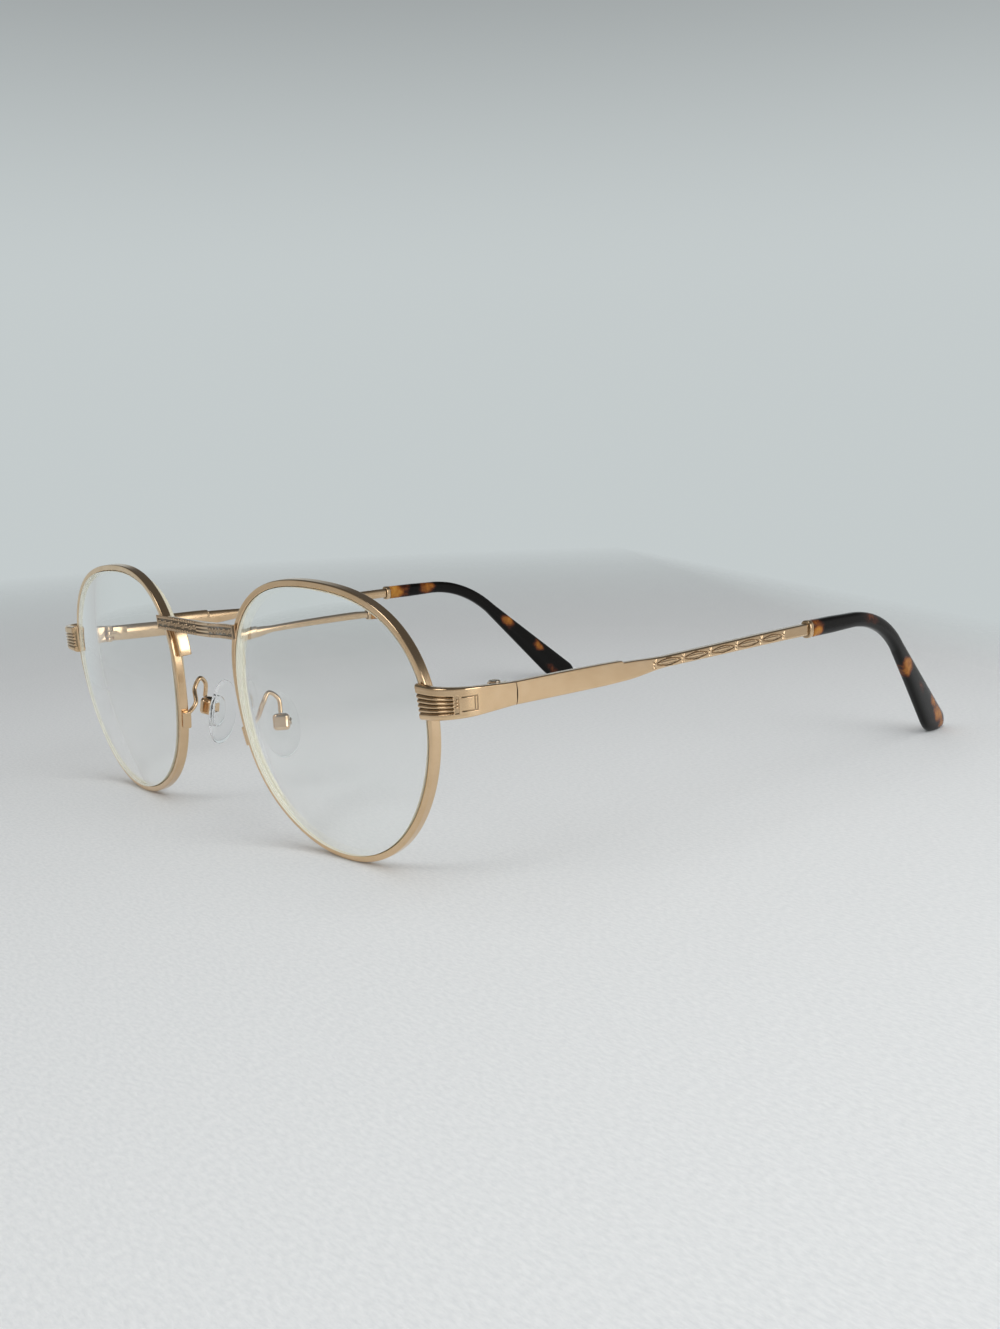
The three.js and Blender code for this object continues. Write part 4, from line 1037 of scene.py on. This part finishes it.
def pad_boxes():
    """Box with rounded back and ends, open in front for the lug of the pad."""
    mouth, slot, floor_at = -LUG_RADIUS, LUG_THICK / 2 + LUG_FIT, LUG_RADIUS + LUG_FIT
    lip, edge = 0.2, 0.72
    lean = np.radians(np.linspace(90, 0, 9))
    rise, narrow = edge * (1 - np.sin(lean)) - BOX_LONG / 2, edge * (1 - np.cos(lean))
    heights = np.concatenate([rise, -rise[::-1]])
    insets = np.concatenate([narrow, narrow[::-1]])
    rings = []
    for height, inset in zip(heights, insets):
        back, wide = BOX_OUTER - inset * 0.6, slot + BOX_WALL - inset
        corner = lerp(0.95, 0.25, inset / edge)
        half = [(floor_at, slot), (mouth + 0.1, slot), (mouth, slot + 0.1)]
        half += arc((mouth + lip, wide - lip), lip, 180, 90, 5)
        half += arc((back - corner, wide - corner), corner, 90, 0, 10)
        ring = half + [(x, -y) for x, y in half[::-1]]
        rings.append([(x, y, height) for x, y in ring])
    points, faces = loft(rings)
    add_pair("pad_box", from_pad(points), faces, BRIGHT, "front", "gold_metal", crease=50)


def nose_pads():
    half = PAD_THICK / 2
    profile = spline([(0, -half), (0.45, -half), (0.74, -half * 0.93), (0.93, -half * 0.62),
                      (1, -half * 0.1), (0.94, half * 0.42), (0.74, half * 0.8),
                      (0.42, half * 0.97), (0, half)], 44)
    profile[:, 0] = np.clip(profile[:, 0], 0, 1)
    sides = 72
    angle = turns(sides)
    # Slightly drop-shaped: fuller below than above
    wide = PAD_WIDE / 2 * (1 - 0.07 * np.sin(angle))
    rings = []
    for share, level in profile[1:-1]:
        rings.append(np.stack([
            np.full(sides, -PAD_STANDOFF - half - level),
            share * wide * np.cos(angle),
            share * PAD_LONG / 2 * np.sin(angle) - PAD_SINK], -1))
    points, faces = loft(rings)
    add_pair("nose_pad", from_pad(points), faces, SILICONE, "{}_pad", "clear_silicone", crease=60)


rims()
lenses()
bridge()
endpieces()
arms()
ferrules()
tips()
pad_arms()
pad_boxes()
nose_pads()
# CAD pieces that only get rounded edges: node, material, body, slot, rounding and its steps
ROUNDED = (
    ("bridge_leg", GOLD, "front", "gold_metal", 0.16, 3),
    ("rim_lock_upper", GOLD, "front", "gold_metal", 0.12, 3),
    ("rim_lock_lower", GOLD, "front", "gold_metal", 0.12, 3),
    ("hinge_front", GOLD, "front", "gold_metal", 0.07, 3),
    ("hinge_temple", GOLD, "{}_arm", "gold_metal", 0.07, 3),
    ("hinge_screw", STEEL, "front", "screw_steel", 0.04, 2),
    ("rim_screw", STEEL, "front", "screw_steel", 0.05, 2),
    ("pad_screw", STEEL, "front", "screw_steel", 0.04, 2),
    ("pad_core", CLEAR_CORE, "{}_pad", "clear_core", 0.05, 2),
)
for side, _ in SIDES:
    for node, material, body, slot, width, segments in ROUNDED:
        refined(f"{node}_{side}", material, body.format(side), width, segments)


# Floor, light and camera

# Sides where the cloth ends early: direction, and the distances where it thins out and is gone
CLOTH_EDGES = (((0.74, -0.673, 0), 0.205, 0.26), ((-0.361, -0.933, 0), 0.11, 0.19),
               ((0.5, 0.866, 0), 0.15, 0.21), ((1, 0, 0), 0.22, 0.36))
CLOTH_RADIUS, CLOTH_FADE = 0.75, (0.2, 0.62)


def floor():
    """Pale woven cloth that fades out into the backdrop."""
    mesh = bpy.data.meshes.new("floor")
    sides = 96
    ring = [(x, y, 0) for x, y in arc((0, 0), CLOTH_RADIUS, 0, 360 * (1 - 1 / sides), sides)]
    mesh.from_pydata(ring, [], [tuple(range(sides))])
    n = Nodes("floor_cloth")
    weave = n.noise(900, 2, 0.6, (1, 2.2, 1))
    n.put(n.shader, {
        "Base Color": n.ramp(weave, ((0.3, (0.80, 0.82, 0.825)), (0.7, (0.88, 0.895, 0.895)))),
        "Roughness": 0.85, "Specular IOR Level": 0.15,
        "Normal": n.bump(weave, 0.25, 0.0004),
    })
    length = n.add("ShaderNodeVectorMath", operation="LENGTH")
    n.link(n.place, length.inputs[0])
    fade = n.span(length.outputs["Value"], 0.0, 1.0, *CLOTH_FADE)
    for edge in CLOTH_EDGES:
        fade = n.math("MAXIMUM", fade, n.towards(*edge))
    gone = n.add("ShaderNodeBsdfTransparent")
    blend = n.add("ShaderNodeMixShader")
    n.put(blend, {0: fade, 1: n.shader.outputs[0], 2: gone.outputs[0]})
    n.link(blend.outputs[0], n.tree.nodes["Material Output"].inputs["Surface"])
    mesh.materials.append(n.owner)
    obj = add_object("floor", mesh)


def backdrop():
    """Pale wall behind the glasses, a dimmer room round them and a dark ceiling."""
    n = Nodes("backdrop", "worlds", "Background", "Generated")
    bpy.context.scene.world = n.owner
    wall = n.towards((-0.94, 0.342, 0), 0.45, 0.74, "SMOOTHSTEP")
    ceiling = n.towards((0, 0, 1), 0.12, 0.55, "SMOOTHSTEP")
    colour = n.mix(wall, (0.47, 0.475, 0.47), (0.555, 0.60, 0.605))
    n.link(n.mix(ceiling, colour, (0.10, 0.102, 0.105)), n.shader.inputs["Color"])


def lamp(name, place, target, size, power, mirrored):
    """Soft lamp aimed at a target, in metres and watts; metal shows it only where mirrored."""
    data = bpy.data.lights.new(name, "AREA")
    data.shape = "RECTANGLE"
    data.size, data.size_y = size
    data.energy = power
    obj = add_object(name, data)
    obj.location = place
    obj.rotation_euler = (Vector(target) - Vector(place)).to_track_quat("-Z", "Y").to_euler()
    obj.visible_camera = False
    obj.visible_transmission = not mirrored
    obj.visible_glossy = mirrored


# Camera as solved from the photo: place in metres, angles, and focal length in photo pixels
CAMERA_PLACE = (0.207257, -0.193209, 0.065859)
CAMERA_YAW, CAMERA_PITCH, CAMERA_ROLL = 47.695, 9.235, -2.142
CAMERA_FOCAL, PHOTO_HEIGHT, SENSOR = 1288.378, 1329, 36


def camera():
    yaw, pitch, roll = np.radians((CAMERA_YAW, CAMERA_PITCH, CAMERA_ROLL))
    forward = Vector((-math.sin(yaw) * math.cos(pitch), math.cos(yaw) * math.cos(pitch),
                      -math.sin(pitch)))
    right = Vector((math.cos(yaw), math.sin(yaw), 0))
    up = right.cross(forward)
    right, up = (right * math.cos(roll) + up * math.sin(roll),
                 up * math.cos(roll) - right * math.sin(roll))
    data = bpy.data.cameras.new("camera")
    data.sensor_width = SENSOR
    data.lens = CAMERA_FOCAL * SENSOR / PHOTO_HEIGHT
    data.clip_start = 0.01
    obj = add_object("camera", data)
    turn = Matrix((right, up, -forward)).transposed().to_4x4()
    obj.matrix_world = Matrix.Translation(CAMERA_PLACE) @ turn
    bpy.context.scene.camera = obj


floor()
backdrop()
lamp("soft_overhead", (0.12, -0.2, 0.85), (0, 0, 0), (1.1, 1.1), 3.7, False)
lamp("right_floor_light", (0.34, 0.04, 0.34), (0.19, 0.03, 0), (0.45, 0.45), 0.55, False)
lamp("right_light", (0.443, 0.04, 0.1), (0.06, -0.05, 0.03), (0.36, 0.2), 0.6, True)
lamp("front_light", (0.028, -0.51, 0.43), (0.05, -0.07, 0.03), (0.26, 0.26), 0.55, True)
camera()
bpy.context.scene.view_settings.view_transform = "Standard"
